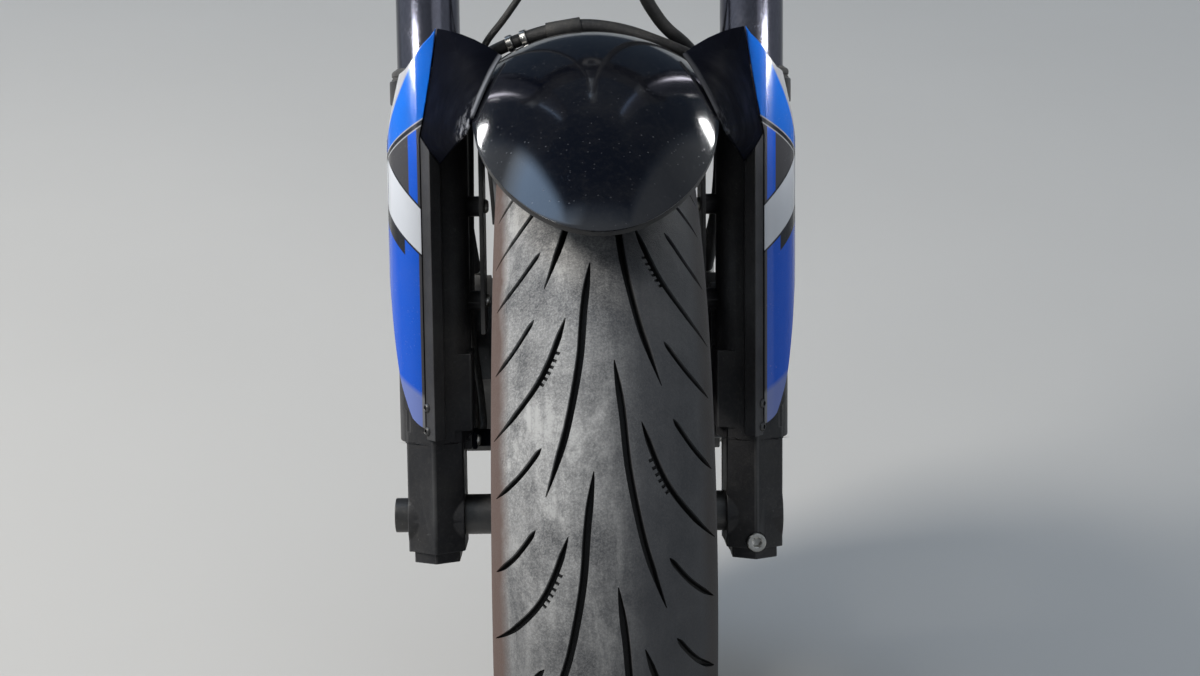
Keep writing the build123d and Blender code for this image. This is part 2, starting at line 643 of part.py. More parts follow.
def disc_carrier(side):
    """Aluminium spider between the hub and the disc, with its bobbins and bolts."""
    half = CARRIER_THICKNESS / 2
    x = side * DISC_X
    ring = along_x(DISC_INNER_RADIUS - CARRIER_CLEARANCE, x - half, x + half)
    ring -= along_x(CARRIER_RING_INNER, x - half - 1, x + half + 1)
    reach = CARRIER_ARM_WIDTH / 2
    for count in range(CARRIER_ARMS):
        arm = block(x - half, x + half, -reach, reach, HUB_RADIUS, CARRIER_RING_INNER + 4)
        ring += Rot(count * 360 / CARRIER_ARMS, 0, 0) * arm
    start, end = sorted((side * (HUB_FACE_X + PANEL_GAP), x + side * half))
    ring += along_x(HUB_FLANGE_RADIUS, start, end)
    ring -= along_x(BEARING_RADIUS + 4, start - 1, end + 1)
    for count in range(BOBBIN_COUNT):
        bobbin = along_x(BOBBIN_RADIUS, x - half - 0.6, x + half + 0.6, 0, DISC_INNER_RADIUS)
        ring += Rot(count * 360 / BOBBIN_COUNT + 18, 0, 0) * bobbin
    face = x + side * half
    start, end = sorted((face, face + side * DISC_BOLT_HEAD))
    for count in range(CARRIER_ARMS):
        head = along_x(DISC_BOLT_RADIUS, start, end, 0, DISC_BOLT_CIRCLE)
        ring += Rot((count + 0.5) * 360 / CARRIER_ARMS, 0, 0) * head
    return ring


def speed_ring():
    """Slotted ring of the wheel speed sensor, on the left carrier."""
    face = -DISC_X - CARRIER_THICKNESS / 2 - PANEL_GAP
    ring = along_x(SPEED_RING_RADIUS, face - SPEED_RING_THICKNESS, face)
    ring -= along_x(SPEED_RING_RADIUS - SPEED_RING_WIDTH, face - SPEED_RING_THICKNESS - 1, face + 1)
    slots = []
    mid = SPEED_RING_RADIUS - SPEED_RING_WIDTH / 2
    for count in range(SPEED_RING_SLOTS):
        slot = block(face - SPEED_RING_THICKNESS - 1, face + 1, -1.6, 1.6, mid - 2.6, mid + 2.6)
        slots.append(Rot(count * 360 / SPEED_RING_SLOTS, 0, 0) * slot)
    return ring - slots


def lower_yoke():
    """Cast lower yoke: two clamps, the stem's boss and arms with a hollow underside."""
    body = along_z(YOKE_BOSS_RADIUS, YOKE_BOTTOM, YOKE_TOP, 0, YOKE_OFFSET)
    half = YOKE_WEB_WIDTH / 2
    arms = [
        (-LEG_X, -half),
        (0, YOKE_OFFSET - half - 6),
        (LEG_X, -half),
        (LEG_X, half),
        (0, YOKE_OFFSET + half),
        (-LEG_X, half),
    ]
    body += prism_z(arms, YOKE_BOTTOM, YOKE_TOP, YOKE_ROUNDING)
    back = YOKE_OFFSET + YOKE_BOSS_RADIUS
    reach = YOKE_STOP_WIDTH / 2
    for side in (-1, 1):
        x = side * YOKE_STOP_X
        body += block(x - reach, x + reach, YOKE_OFFSET, back, YOKE_TOP - YOKE_STOP_HEIGHT, YOKE_TOP)
    ear = YOKE_EAR_HALF_WIDTH
    slot = YOKE_SLOT_WIDTH / 2
    back = YOKE_CLAMP_RADIUS + YOKE_EAR_DEPTH
    for side in (-1, 1):
        x = side * LEG_X
        body += along_z(YOKE_CLAMP_RADIUS, YOKE_BOTTOM, YOKE_TOP, x)
        body += block(x - ear, x + ear, 0, back, YOKE_BOTTOM, YOKE_TOP)
    for side in (-1, 1):
        x = side * LEG_X
        body -= along_z(TUBE_RADIUS + CLAMP_CLEARANCE, YOKE_BOTTOM - 1, YOKE_TOP + 1, x)
        body -= block(x - slot, x + slot, 0, back + 1, YOKE_BOTTOM - 1, YOKE_TOP + 1)
        pocket = [(side * 36, 12), (side * 76, 0), (side * 76, 16), (side * 36, 30)]
        body -= prism_z(pocket, YOKE_BOTTOM - 1, YOKE_TOP - YOKE_POCKET_FLOOR)
        for z in yoke_bolt_heights():
            body -= along_x(YOKE_BOLT_RADIUS + AXLE_FIT_CLEARANCE, x - ear - 1, x + ear + 1, yoke_bolt_y(), z)
    return body - along_z(STEM_SEAT_RADIUS + PRESS_CLEARANCE, YOKE_BOTTOM - 1, YOKE_TOP + 1, 0, YOKE_OFFSET)


def yoke_bolt_y():
    """Distance of the yoke's pinch bolts behind the tube's axis, halfway along the ear."""
    return YOKE_CLAMP_RADIUS + YOKE_EAR_DEPTH / 2


def yoke_bolt_heights():
    """Heights of the yoke's pinch bolts."""
    return [YOKE_BOTTOM + share * YOKE_HEIGHT for share in YOKE_BOLT_SHARES]


def yoke_bolts():
    """Pinch bolts of the yoke, their heads outside."""
    bolts = []
    ear = YOKE_EAR_HALF_WIDTH
    for side in (-1, 1):
        for z in yoke_bolt_heights():
            bolt = along_x(YOKE_BOLT_RADIUS, LEG_X - ear, LEG_X + ear, yoke_bolt_y(), z)
            head_end = LEG_X + ear + 2 * YOKE_BOLT_RADIUS
            bolt += along_x(YOKE_BOLT_HEAD_RADIUS, LEG_X + ear, head_end, yoke_bolt_y(), z)
            bolts.append(side_of(bolt, side))
    return Compound(children=bolts)


def stem():
    """Hollow steering stem with its narrower threaded neck."""
    body = along_z(STEM_SEAT_RADIUS, YOKE_BOTTOM - STEM_FOOT, YOKE_TOP + STEM_BEARING_HEIGHT, 0, YOKE_OFFSET)
    body += along_z(STEM_RADIUS, YOKE_TOP, STEM_SHOULDER, 0, YOKE_OFFSET)
    body += along_z(STEM_NECK_RADIUS, STEM_SHOULDER, STEM_TOP, 0, YOKE_OFFSET)
    bore = STEM_NECK_RADIUS - STEM_WALL
    return body - along_z(bore, YOKE_BOTTOM - STEM_FOOT - 1, STEM_TOP + 1, 0, YOKE_OFFSET)


def stem_bearing():
    """Tapered lower head bearing on the foot of the stem."""
    cone = Pos(0, YOKE_OFFSET, YOKE_TOP + STEM_BEARING_HEIGHT / 2) * Cone(
        STEM_BEARING_RADIUS, STEM_BEARING_RADIUS - 4, STEM_BEARING_HEIGHT
    )
    top = YOKE_TOP + STEM_BEARING_HEIGHT + 1
    return cone - along_z(STEM_SEAT_RADIUS + PRESS_CLEARANCE, YOKE_TOP - 1, top, 0, YOKE_OFFSET)


def fork_cap(x):
    """Cap screwed into the top of a fork tube, with its hexagon and adjuster."""
    plug = along_z(TUBE_RADIUS - TUBE_WALL - CLAMP_CLEARANCE, TUBE_TOP - 12, TUBE_TOP, x)
    plug += along_z(TUBE_RADIUS - CAP_INSET, TUBE_TOP, TUBE_TOP + CAP_HEIGHT, x)
    plug += Pos(x, 0, TUBE_TOP + CAP_HEIGHT) * hexagon_bar(CAP_HEX_FLATS, CAP_HEX_HEIGHT)
    return plug


def dust_seal(x):
    """Rubber wiper on the top of the lower leg."""
    ring = along_z(COLLAR_RADIUS - 1.5, SLIDER_TOP, SLIDER_TOP + SEAL_HEIGHT, x)
    return ring - along_z(TUBE_RADIUS + SEAL_LIP_CLEARANCE, SLIDER_TOP - 1, SLIDER_TOP + SEAL_HEIGHT + 1, x)


def pinch_bolt():
    """Socket-headed bolt that closes the right lug on the axle."""
    head_face = -LUG_SIDE_FRONT - 4
    bolt = along_y(PINCH_SHANK_RADIUS, head_face, LUG_BACK - 6, LEG_X, -PINCH_BOLT_DROP)
    bolt += along_y(PINCH_HEAD_RADIUS, head_face - 8, head_face, LEG_X, -PINCH_BOLT_DROP)
    socket = Pos(LEG_X, head_face - 8, -PINCH_BOLT_DROP) * Rot(-90, 0, 0) * hexagon_bar(6.0, 4.0)
    return bolt - socket


def polar(radius, angle):
    """Fork-frame (y, z) of a place on the wheel, its angle counted forwards from straight up."""
    turn = math.radians(angle + RAKE)
    return -radius * math.sin(turn), radius * math.cos(turn)


def mudguard_blade():
    """Domed front mudguard with its rounded beak, rear skirts and the stays to the legs."""
    centre = BLADE_RADIUS - BLADE_CROWN_RADIUS
    half = BLADE_HALF_WIDTH
    edge = centre + math.sqrt(BLADE_CROWN_RADIUS ** 2 - half ** 2)
    inner_half = half - 1.5
    inner_crown = BLADE_CROWN_RADIUS - BLADE_THICKNESS
    inner_edge = centre + math.sqrt(inner_crown ** 2 - inner_half ** 2)
    outline = ThreePointArc((-half, 0, edge), (0, 0, BLADE_RADIUS), (half, 0, edge))
    outline += Line((half, 0, edge), (inner_half, 0, inner_edge))
    inner_top = BLADE_RADIUS - BLADE_THICKNESS
    outline += ThreePointArc((inner_half, 0, inner_edge), (0, 0, inner_top), (-inner_half, 0, inner_edge))
    outline += Line((-inner_half, 0, inner_edge), (-half, 0, edge))
    ring = turned(outline)
    far = BLADE_RADIUS * 1.5
    plan = make_face(
        Line((-half, 0, 0), (-half, far, 0))
        + Line((-half, far, 0), (half, far, 0))
        + Line((half, far, 0), (half, 0, 0))
        + EllipticalCenterArc((0, 0, 0), half, BLADE_TIP_REACH, start_angle=180, arc_size=180)
    )
    beak = Rot(RAKE, 0, 0) * extrude(plan, far)
    rear_cut = [(0, 0), polar(far, -BLADE_REAR_ANGLE), polar(far, 0), polar(far, 60), (-far * 0.2, 0)]
    rear = prism_x(rear_cut, -half - 1, half + 1)
    shell = ring & beak & rear
    low = SKIRT_INNER_RADIUS
    high = edge + 2
    skirt_cut = [(0, 0), polar(far, -BLADE_REAR_ANGLE), polar(far, -SKIRT_FRONT_ANGLE)]
    wedge = prism_x(skirt_cut, half - 1.5, SKIRT_OUTER_X)
    skirt = (along_x(high, half - 1.5, SKIRT_OUTER_X) - along_x(low, half - 2, SKIRT_OUTER_X + 1)) & wedge
    stay = block(half + 1, SKIRT_OUTER_X, -STAY_HALF_WIDTH, STAY_HALF_WIDTH, STAY_BOTTOM, low + 8)
    skirt += stay
    skirt -= along_x(inner_edge - 1, half - 3, half + 0.8)
    shell += skirt
    shell += mirror(skirt, about=Plane.YZ)
    return shell


def on_flank(share, angle, lift):
    """Place over the mudguard's flank, from a share of its half width and an angle forwards."""
    x = share * BLADE_HALF_WIDTH
    radius = BLADE_RADIUS - BLADE_CROWN_RADIUS + math.sqrt(BLADE_CROWN_RADIUS ** 2 - x ** 2) + lift
    y, z = polar(radius, angle)
    return Vector(x, y, z)


def between(first, second):
    """Middle of two places."""
    return (first + second) * 0.5


def parabola(first, middle, last, share):
    """Place on the parabola from first to last that passes through the middle halfway."""
    handle = middle * 2 - between(first, last)
    rest = 1 - share
    return first * rest ** 2 + handle * (2 * share * rest) + last * share ** 2


def plate(rows, wall):
    """Thin solid of flat triangles through a grid of places, with its wall behind them."""
    high, wide = len(rows), len(rows[0])
    backs = []
    for i in range(high):
        backs.append([])
        for j in range(wide):
            up = rows[min(i + 1, high - 1)][j] - rows[max(i - 1, 0)][j]
            across = rows[i][min(j + 1, wide - 1)] - rows[i][max(j - 1, 0)]
            backs[i].append(rows[i][j] - across.cross(up).normalized() * wall)
    faces = []
    for i in range(high - 1):
        for j in range(wide - 1):
            for grid in (rows, backs):
                a, b, c, d = grid[i][j], grid[i][j + 1], grid[i + 1][j + 1], grid[i + 1][j]
                faces += [Face(Wire.make_polygon([a, b, c])), Face(Wire.make_polygon([a, c, d]))]
    rim = [(0, j) for j in range(wide)] + [(i, wide - 1) for i in range(1, high)]
    rim += [(high - 1, j) for j in range(wide - 2, -1, -1)] + [(i, 0) for i in range(high - 2, 0, -1)]
    for (i, j), (k, m) in zip(rim, rim[1:] + rim[:1]):
        a, b, c, d = rows[i][j], rows[k][m], backs[k][m], backs[i][j]
        faces += [Face(Wire.make_polygon([a, b, c])), Face(Wire.make_polygon([a, c, d]))]
    return Solid(Shell(faces))


def guard_inner(share):
    """Front view of the guard's inner edge above its shoulder, from the crease to the tip."""
    low = Vector(GUARD_CREASE_X, 0, GUARD_SHOULDER)
    high = Vector(GUARD_TIP_X, 0, GUARD_TOP)
    return parabola(low, between(low, high) - Vector(0, 0, GUARD_EDGE_SAG), high, share)


def shoulder():
    """Right fork cover: a bulging panel from the mudguard to the guard, its foot folded over the trim."""
    seam = [on_flank(*place, COVER_SEAM_LIFT) for place in COVER_SEAM]
    foot_edge, foot_ridge = [on_flank(*place, 0.0) for place in COVER_FOOT]
    ridge = Vector(TRIM_RIDGE_X, -TRIM_RIDGE_Y, (GUARD_SHOULDER + TRIM_INNER_TOP) / 2 + PANEL_GAP)
    inner = Vector(TRIM_INNER_X, -TRIM_INNER_Y, TRIM_INNER_TOP + PANEL_GAP)
    ends = [(0.0, foot_edge, inner), (0.0, foot_ridge, ridge)]
    for k in range(COVER_ROWS + 1):
        share = k / COVER_ROWS
        outer = guard_inner(share) + Vector(-PANEL_GAP, -GUARD_RADIUS, PANEL_GAP)
        outer -= Vector(0, 1, 2) * (PANEL_GAP * share)
        ends.append((share, parabola(*seam, share), outer))
    rows = []
    for share, start, end in ends:
        middle = between(start, end) + Vector(0, -1, 1) * (COVER_BULGE * math.sin(math.pi * share))
        middle += Vector(0, COVER_TOP_BACK, COVER_TOP_RISE) * share ** 3
        rows.append([parabola(start, middle, end, j / COVER_COLUMNS) for j in range(COVER_COLUMNS + 1)])
    return plate(rows, COVER_WALL)


def edge_points(edge, ahead):
    """Places on one of the guard's edges, from its table of steps from the leg's line and the top."""
    return [(ahead + step, GUARD_TOP - drop) for step, drop in edge]


def crease_line():
    """Front view of the guard's inner edge, from below its foot to its tip."""
    edge = [guard_inner(k / GUARD_EDGE_STEPS) for k in range(GUARD_EDGE_STEPS + 1)]
    line = [(GUARD_CREASE_X + GUARD_EDGE_GAP, TRIM_FOOT)]
    return line + [(place.X + GUARD_EDGE_GAP, place.Z) for place in edge]


def leg_guard():
    """Right coloured guard: a thin panel round the leg's front and outer side, its top cut on a slant."""
    shell = along_z(GUARD_RADIUS, GUARD_FOOT, GUARD_TOP, LEG_X) - along_z(
        GUARD_RADIUS - PLASTIC_THICKNESS, GUARD_FOOT - 1, GUARD_TOP + 1, LEG_X
    )
    far = LEG_X + GUARD_RADIUS + 1
    side_view = [(-far, GUARD_TOP + 1), (GUARD_REAR_EDGE[0][0], GUARD_TOP + 1)]
    side_view += edge_points(GUARD_REAR_EDGE, 0.0) + [(-far, GUARD_FOOT)]
    front_view = crease_line() + edge_points(GUARD_TOP_EDGE, LEG_X)
    front_view += [(far, front_view[-1][1] - GUARD_EDGE_FALL), (far, TRIM_FOOT)]
    return shell & prism_x(side_view, 0, far) & prism_y(front_view, -far, far)


def guard_trim():
    """Right dark trim: a ridged strip down the front of the guard."""
    t = PLASTIC_THICKNESS
    start_y = -math.sqrt(GUARD_RADIUS ** 2 - (GUARD_CREASE_X - LEG_X) ** 2)
    plan = [
        (GUARD_CREASE_X, start_y),
        (TRIM_RIDGE_X, -TRIM_RIDGE_Y),
        (TRIM_INNER_X, -TRIM_INNER_Y),
        (TRIM_INNER_X, -TRIM_INNER_Y + t * 1.2),
        (TRIM_RIDGE_X, -TRIM_RIDGE_Y + t * 1.3),
        (GUARD_CREASE_X, start_y + t),
    ]
    strip = prism_z(plan, TRIM_FOOT, GUARD_SHOULDER)
    below = [
        (TRIM_INNER_X - 1, TRIM_FOOT - 1),
        (GUARD_CREASE_X + 1, TRIM_FOOT - 1),
        (GUARD_CREASE_X + 1, GUARD_SHOULDER),
        (GUARD_CREASE_X, GUARD_SHOULDER),
        (TRIM_INNER_X, TRIM_INNER_TOP),
        (TRIM_INNER_X - 1, TRIM_INNER_TOP),
    ]
    return strip & prism_y(below, -TRIM_RIDGE_Y - 1, 0)


def banjos():
    """Banjo fittings and their bolts on both calipers, two of them stacked on the right one."""
    fittings = []
    for side in (-1, 1):
        count = 2 if side > 0 else 1
        bottom = CALIPER_OUTER_RADIUS + PANEL_GAP
        body = along_z(BANJO_RADIUS, bottom, bottom + count * BANJO_HEIGHT)
        body += Pos(0, 0, bottom + count * BANJO_HEIGHT) * hexagon_bar(BANJO_BOLT_FLATS, BANJO_BOLT_HEAD)
        fittings.append(Pos(side * BANJO_X, 0, 0) * Rot(-BANJO_ANGLE, 0, 0) * body)
    return Compound(children=fittings)


def sensor_plate(start, end):
    """Plate of the speed sensor's outline at the slotted ring's height, on the right leg's line."""
    height = SPEED_RING_RADIUS - SPEED_RING_WIDTH / 2
    front, back = SENSOR_Y - SENSOR_FLANGE_REACH, SENSOR_Y + SENSOR_RADIUS
    return block(start, end, front, back, height - SENSOR_RADIUS, height + SENSOR_RADIUS)


def speed_sensor():
    """Wheel speed sensor on the left leg's inner face, its tip facing the slotted ring."""
    face = LEG_X - SLIDER_RADIUS - PANEL_GAP
    tip = DISC_X + CARRIER_THICKNESS / 2 + PANEL_GAP + SPEED_RING_THICKNESS + SENSOR_AIR_GAP
    height = SPEED_RING_RADIUS - SPEED_RING_WIDTH / 2
    body = along_x(SENSOR_RADIUS, tip, face, SENSOR_Y, height)
    return side_of(body + sensor_plate(face - SENSOR_FLANGE, face), -1)


def cord(points, radius):
    """Round hose along straight runs joined by tangent arcs as large as the runs allow."""
    vectors = [Vector(*p) for p in points]
    radii = []
    for before, corner, after in zip(vectors, vectors[1:], vectors[2:]):
        turn = math.radians((corner - before).get_angle(after - corner))
        run = min((corner - before).length, (after - corner).length)
        radii.append(0.45 * run / math.tan(turn / 2))
    path = FilletPolyline(*points, radius=radii)
    print("cord length", round(path.length, 1), "radii", [round(r, 1) for r in radii])
    start = Plane(origin=path @ 0, z_dir=path % 0)
    return sweep(start * Circle(radius), path=path)


MAIN_HOSE = [
    (0.0, -18.0, 560.0),
    (2.0, -25.0, 518.0),
    (7.0, -27.0, 474.0),
    (15.0, -20.0, 430.0),
    (25.0, -9.0, 388.0),
    (37.0, 4.0, 356.0),
    (52.0, 20.0, 337.0),
    (68.0, 35.0, 327.0),
    (84.0, 48.0, 309.0),
    (94.0, 56.0, 282.0),
    (96.0, 58.0, 250.0),
    (93.0, 59.0, 214.0),
    (86.0, 65.4, 182.5),
    (85.0, 87.9, 169.5),
]

CROSSOVER_HOSE = [
    (-85.0, 83.1, 161.1),
    (-86.0, 60.6, 174.1),
    (-90.0, 50.0, 206.0),
    (-93.0, 46.0, 242.0),
    (-92.0, 40.0, 282.0),
    (-84.0, 27.0, 314.0),
    (-58.0, 15.0, 325.5),
    (-32.0, 9.0, 334.0),
    (-4.0, 8.0, 338.5),
    (24.0, 9.0, 334.5),
    (53.0, 15.0, 324.5),
    (83.0, 28.0, 313.0),
    (92.0, 40.0, 281.0),
    (93.0, 44.0, 242.0),
    (90.0, 48.0, 206.0),
    (86.0, 60.6, 174.1),
    (85.0, 83.1, 161.1),
]


SENSOR_WIRE = [
    (-78.5, 12.5, 53.5),
    (-78.5, 26.0, 62.0),
    (-81.0, 31.0, 86.0),
    (-86.0, 31.0, 122.0),
    (-86.0, 30.0, 170.0),
    (-85.0, 29.0, 230.0),
    (-84.0, 24.0, 290.0),
    (-74.0, 12.0, 325.0),
    (-58.0, 1.0, 342.0),
    (-40.0, -9.0, 366.0),
    (-24.0, -18.0, 400.0),
    (-13.0, -24.0, 440.0),
    (-9.0, -27.0, 478.0),
    (-8.0, -26.0, 520.0),
    (-8.0, -18.0, 560.0),
]


right_leg = lower_leg()
sensor_seat = sensor_plate(LEG_X - SLIDER_RADIUS, LEG_X - LUG_WIDTH / 2)
for name, side in SIDES.items():
    x = side * LEG_X
    add("fork_tube_" + name, fork_tube(x))
    add("fork_cap_" + name, fork_cap(x))
    add("dust_seal_" + name, dust_seal(x))
    leg = pinched(right_leg) if side > 0 else right_leg + sensor_seat
    add("lower_leg_" + name, side_of(leg, side))
    add("caliper_" + name, side_of(caliper(), side))
    add("brake_pads_" + name, side_of(brake_pads(), side))
    add("caliper_bolts_" + name, side_of(caliper_bolts(), side))
    add("wheel_spacer_" + name, side_of(spacer(), side))
    add("brake_disc_" + name, brake_disc(side * DISC_X))
    add("disc_carrier_" + name, disc_carrier(side))
    add("fork_cover_" + name, side_of(shoulder(), side))
    add("leg_guard_" + name, side_of(leg_guard(), side))
    add("guard_trim_" + name, side_of(guard_trim(), side))

add("steering_stem", stem())
add("stem_bearing", stem_bearing())
add("lower_yoke", lower_yoke())
add("yoke_bolts", yoke_bolts())
add("axle", axle())
add("axle_pinch_bolt", pinch_bolt())
add("mudguard_blade", mudguard_blade())
add("hose_banjos", banjos())
add("speed_sensor", speed_sensor())
add("sensor_wire", cord(SENSOR_WIRE, WIRE_RADIUS))
add("brake_hose_main", cord(MAIN_HOSE, HOSE_RADIUS))
add("brake_hose_crossover", cord(CROSSOVER_HOSE, HOSE_RADIUS))

add("wheel_rim", wheel_rim())
add("wheel_bearings", wheel_bearings())
add("tyre", tyre())
add("valve_stem", valve())
add("speed_ring", speed_ring())

os.makedirs("parts", exist_ok=True)
for name, shape in parts.items():
    export_step(shape, "parts/" + name + ".step")
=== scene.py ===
import logging
import math
from dataclasses import dataclass
from enum import Enum
from functools import cache
from typing import Union

import bmesh
import bpy
from mathutils import Matrix, Vector


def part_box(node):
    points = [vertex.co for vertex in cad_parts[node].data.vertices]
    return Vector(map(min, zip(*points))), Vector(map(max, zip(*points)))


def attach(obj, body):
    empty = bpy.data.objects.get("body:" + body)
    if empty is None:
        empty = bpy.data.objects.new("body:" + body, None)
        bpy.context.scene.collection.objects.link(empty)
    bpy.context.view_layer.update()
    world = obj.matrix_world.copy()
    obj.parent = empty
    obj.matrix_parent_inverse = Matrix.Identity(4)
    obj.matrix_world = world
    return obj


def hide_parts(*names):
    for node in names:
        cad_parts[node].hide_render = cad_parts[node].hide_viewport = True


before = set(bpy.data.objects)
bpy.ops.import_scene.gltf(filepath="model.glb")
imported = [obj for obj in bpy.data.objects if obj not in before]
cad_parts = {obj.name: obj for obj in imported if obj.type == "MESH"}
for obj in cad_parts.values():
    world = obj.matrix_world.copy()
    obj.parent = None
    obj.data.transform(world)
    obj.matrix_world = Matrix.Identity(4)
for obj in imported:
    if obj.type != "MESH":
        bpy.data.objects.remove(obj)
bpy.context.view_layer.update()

log = logging.getLogger("front_end")

BMesh = bmesh.types.BMesh
NodeTree = bpy.types.NodeTree
Node = bpy.types.Node
Object = bpy.types.Object
Socket = bpy.types.NodeSocket
Value = Union[Socket, float, tuple, Vector]

ORIGIN = (0.0, 0.0, 0.0)
UPWARD = (0.0, 0.0, 1.0)

MM = 0.001
RAKE = math.radians(25.0)
ROUNDED_FROM = math.radians(32.0)
BOX_CENTRE = (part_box("axle")[0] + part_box("axle")[1]) / 2
AXLE = Vector((0.0, BOX_CENTRE.y, BOX_CENTRE.z))
LEG_X = (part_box("fork_tube_right")[0].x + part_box("fork_tube_right")[1].x) / 2 / MM
WHEEL_FRAME = Matrix.Translation(AXLE) @ Matrix.Scale(MM, 4)
FORK_FRAME = Matrix.Translation(AXLE) @ Matrix.Rotation(-RAKE, 4, "X") @ Matrix.Scale(MM, 4)

# The tread's round crown, in millimetres: its radius, and its centre's distance from the axle
CROWN_RADIUS = 66.4
CROWN_CENTRE = 233.6

# What several finishes share: the dust's colour, depths in metres, and ranges that masks are taken from
DUST = (0.30, 0.275, 0.24)
SKIN_DEPTH = 0.6 * MM
GROUND_DEPTH = 0.2 * MM
MIDDLE = (0.3, 0.7)
STAINS = (0.5, 0.8)
SHARP = (0.515, 0.57)


class Body(Enum):
    """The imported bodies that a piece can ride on."""

    FORK = "fork"
    WHEEL = "wheel"


class Side(Enum):
    """The two legs, by the sign of X."""

    LEFT = -1
    RIGHT = 1

    @property
    def word(self) -> str:
        """The side's name as the nodes spell it."""
        return self.name.lower()

    def at(self, x: float, y: float, z: float) -> tuple:
        """The right side's place or direction, taken over to this side."""
        return (self.value * x, y, z)


class Head(Enum):
    """Kinds of screw head."""

    SOCKET = "cylinder with a hexagon socket"
    BUTTON = "dome with a hexagon socket"
    FLANGED = "hexagon on a washer face"


class Wiring:
    """Short ways to add and join the nodes of one material or shader group."""

    def __init__(self, tree: NodeTree) -> None:
        """Start on a tree.

        Args:
            tree: The node tree of a material or a group.
        """
        self.tree = tree

    def node(self, kind: str, **settings) -> Node:
        """Add a node.

        Args:
            kind: The node's type, such as ShaderNodeMath.
            settings: Properties to set on it.

        Returns:
            The new node.
        """
        made = self.tree.nodes.new(kind)
        for key, value in settings.items():
            setattr(made, key, value)
        return made

    def feed(self, socket: Socket, value: Value) -> None:
        """Link a socket, or set a constant on it.

        Args:
            socket: The input to feed.
            value: An output socket, a number, a vector or a colour.
        """
        if isinstance(value, Socket):
            self.tree.links.new(value, socket)
            return
        if hasattr(value, "__len__") and len(value) == 3 and socket.type == "RGBA":
            value = (*value, 1.0)
        socket.default_value = value

    def fill(self, node: Node, values: dict) -> None:
        """Feed several inputs of a node, given by name."""
        for name, value in values.items():
            self.feed(node.inputs[name], value)

    def place(self) -> Socket:
        """The piece's own coordinates, in metres in the part's frame."""
        return self.node("ShaderNodeTexCoord").outputs["Object"]

    def split(self, vector: Value) -> tuple:
        """The three parts of a vector.

        Args:
            vector: The vector's socket.

        Returns:
            Its X, Y and Z sockets.
        """
        parts = self.node("ShaderNodeSeparateXYZ")
        self.feed(parts.inputs[0], vector)
        return tuple(parts.outputs)

    def math(self, operation: str, first: Value, second: Value = 0.0, clamp: bool = False) -> Socket:
        """One sum.

        Args:
            operation: The node's operation, such as SQRT.
            first: Its first value.
            second: Its second value.
            clamp: Whether the result is kept between 0 and 1.

        Returns:
            The result's socket.
        """
        made = self.node("ShaderNodeMath", operation=operation, use_clamp=clamp)
        self.feed(made.inputs[0], first)
        self.feed(made.inputs[1], second)
        return made.outputs[0]

    def times(self, first: Value, second: Value, clamp: bool = False) -> Socket:
        """Product of two values."""
        return self.math("MULTIPLY", first, second, clamp)

    def plus(self, first: Value, second: Value, clamp: bool = False) -> Socket:
        """Sum of two values."""
        return self.math("ADD", first, second, clamp)

    def minus(self, first: Value, second: Value) -> Socket:
        """First value less the second."""
        return self.math("SUBTRACT", first, second)

    def rest(self, value: Value) -> Socket:
        """What a share leaves of 1."""
        return self.math("SUBTRACT", 1.0, value)

    def highest(self, first: Value, second: Value) -> Socket:
        """Larger of two values."""
        return self.math("MAXIMUM", first, second)

    def vectors(self, operation: str, first: Value, second: Value = ORIGIN, gives: str = "Vector") -> Socket:
        """One sum of vectors.

        Args:
            operation: The node's operation, such as SUBTRACT.
            first: Its first vector.
            second: Its second vector.
            gives: Which output is wanted, Vector or Value.

        Returns:
            The result's socket.
        """
        made = self.node("ShaderNodeVectorMath", operation=operation)
        self.feed(made.inputs[0], first)
        self.feed(made.inputs[1], second)
        return made.outputs[gives]

    def ramp(self, value: Value, low: float, high: float, to_low: float = 0, to_high: float = 1) -> Socket:
        """A value spread over a range, kept inside it.

        Args:
            value: The value's socket.
            low: The value that gives to_low.
            high: The value that gives to_high.
            to_low: The result at low.
            to_high: The result at high.

        Returns:
            The result's socket.
        """
        made = self.node("ShaderNodeMapRange", clamp=True)
        limits = {"From Min": low, "From Max": high, "To Min": to_low, "To Max": to_high}
        self.fill(made, {"Value": value, **limits})
        return made.outputs["Result"]

    def noise(
        self, vector: Value, scale: Value, detail: float = 4.0, rough: float = 0.55, twist: float = 0.0
    ) -> Socket:
        """Cloudy noise.

        Args:
            vector: Where it is read.
            scale: Its scale, in waves a metre.
            detail: Its octaves.
            rough: How strong the fine octaves are.
            twist: Its distortion.

        Returns:
            The noise's value.
        """
        made = self.node("ShaderNodeTexNoise")
        values = {"Scale": scale, "Detail": detail, "Roughness": rough, "Distortion": twist}
        self.fill(made, {"Vector": vector, **values})
        return made.outputs["Fac"]

    def cells(self, vector: Value, scale: Value) -> Socket:
        """Distance to scattered points.

        Args:
            vector: Where it is read.
            scale: How close the points lie.

        Returns:
            The distance.
        """
        made = self.node("ShaderNodeTexVoronoi")
        self.fill(made, {"Vector": vector, "Scale": scale})
        return made.outputs["Distance"]

    def stretched(self, vector: Value, scale: tuple, turn: tuple = ORIGIN) -> Socket:
        """A vector turned and scaled by a Mapping node.

        Args:
            vector: The vector's socket.
            scale: Its scale along each axis.
            turn: Its turn about each axis, in radians.

        Returns:
            The mapped vector.
        """
        made = self.node("ShaderNodeMapping")
        self.fill(made, {"Vector": vector, "Rotation": turn, "Scale": scale})
        return made.outputs[0]

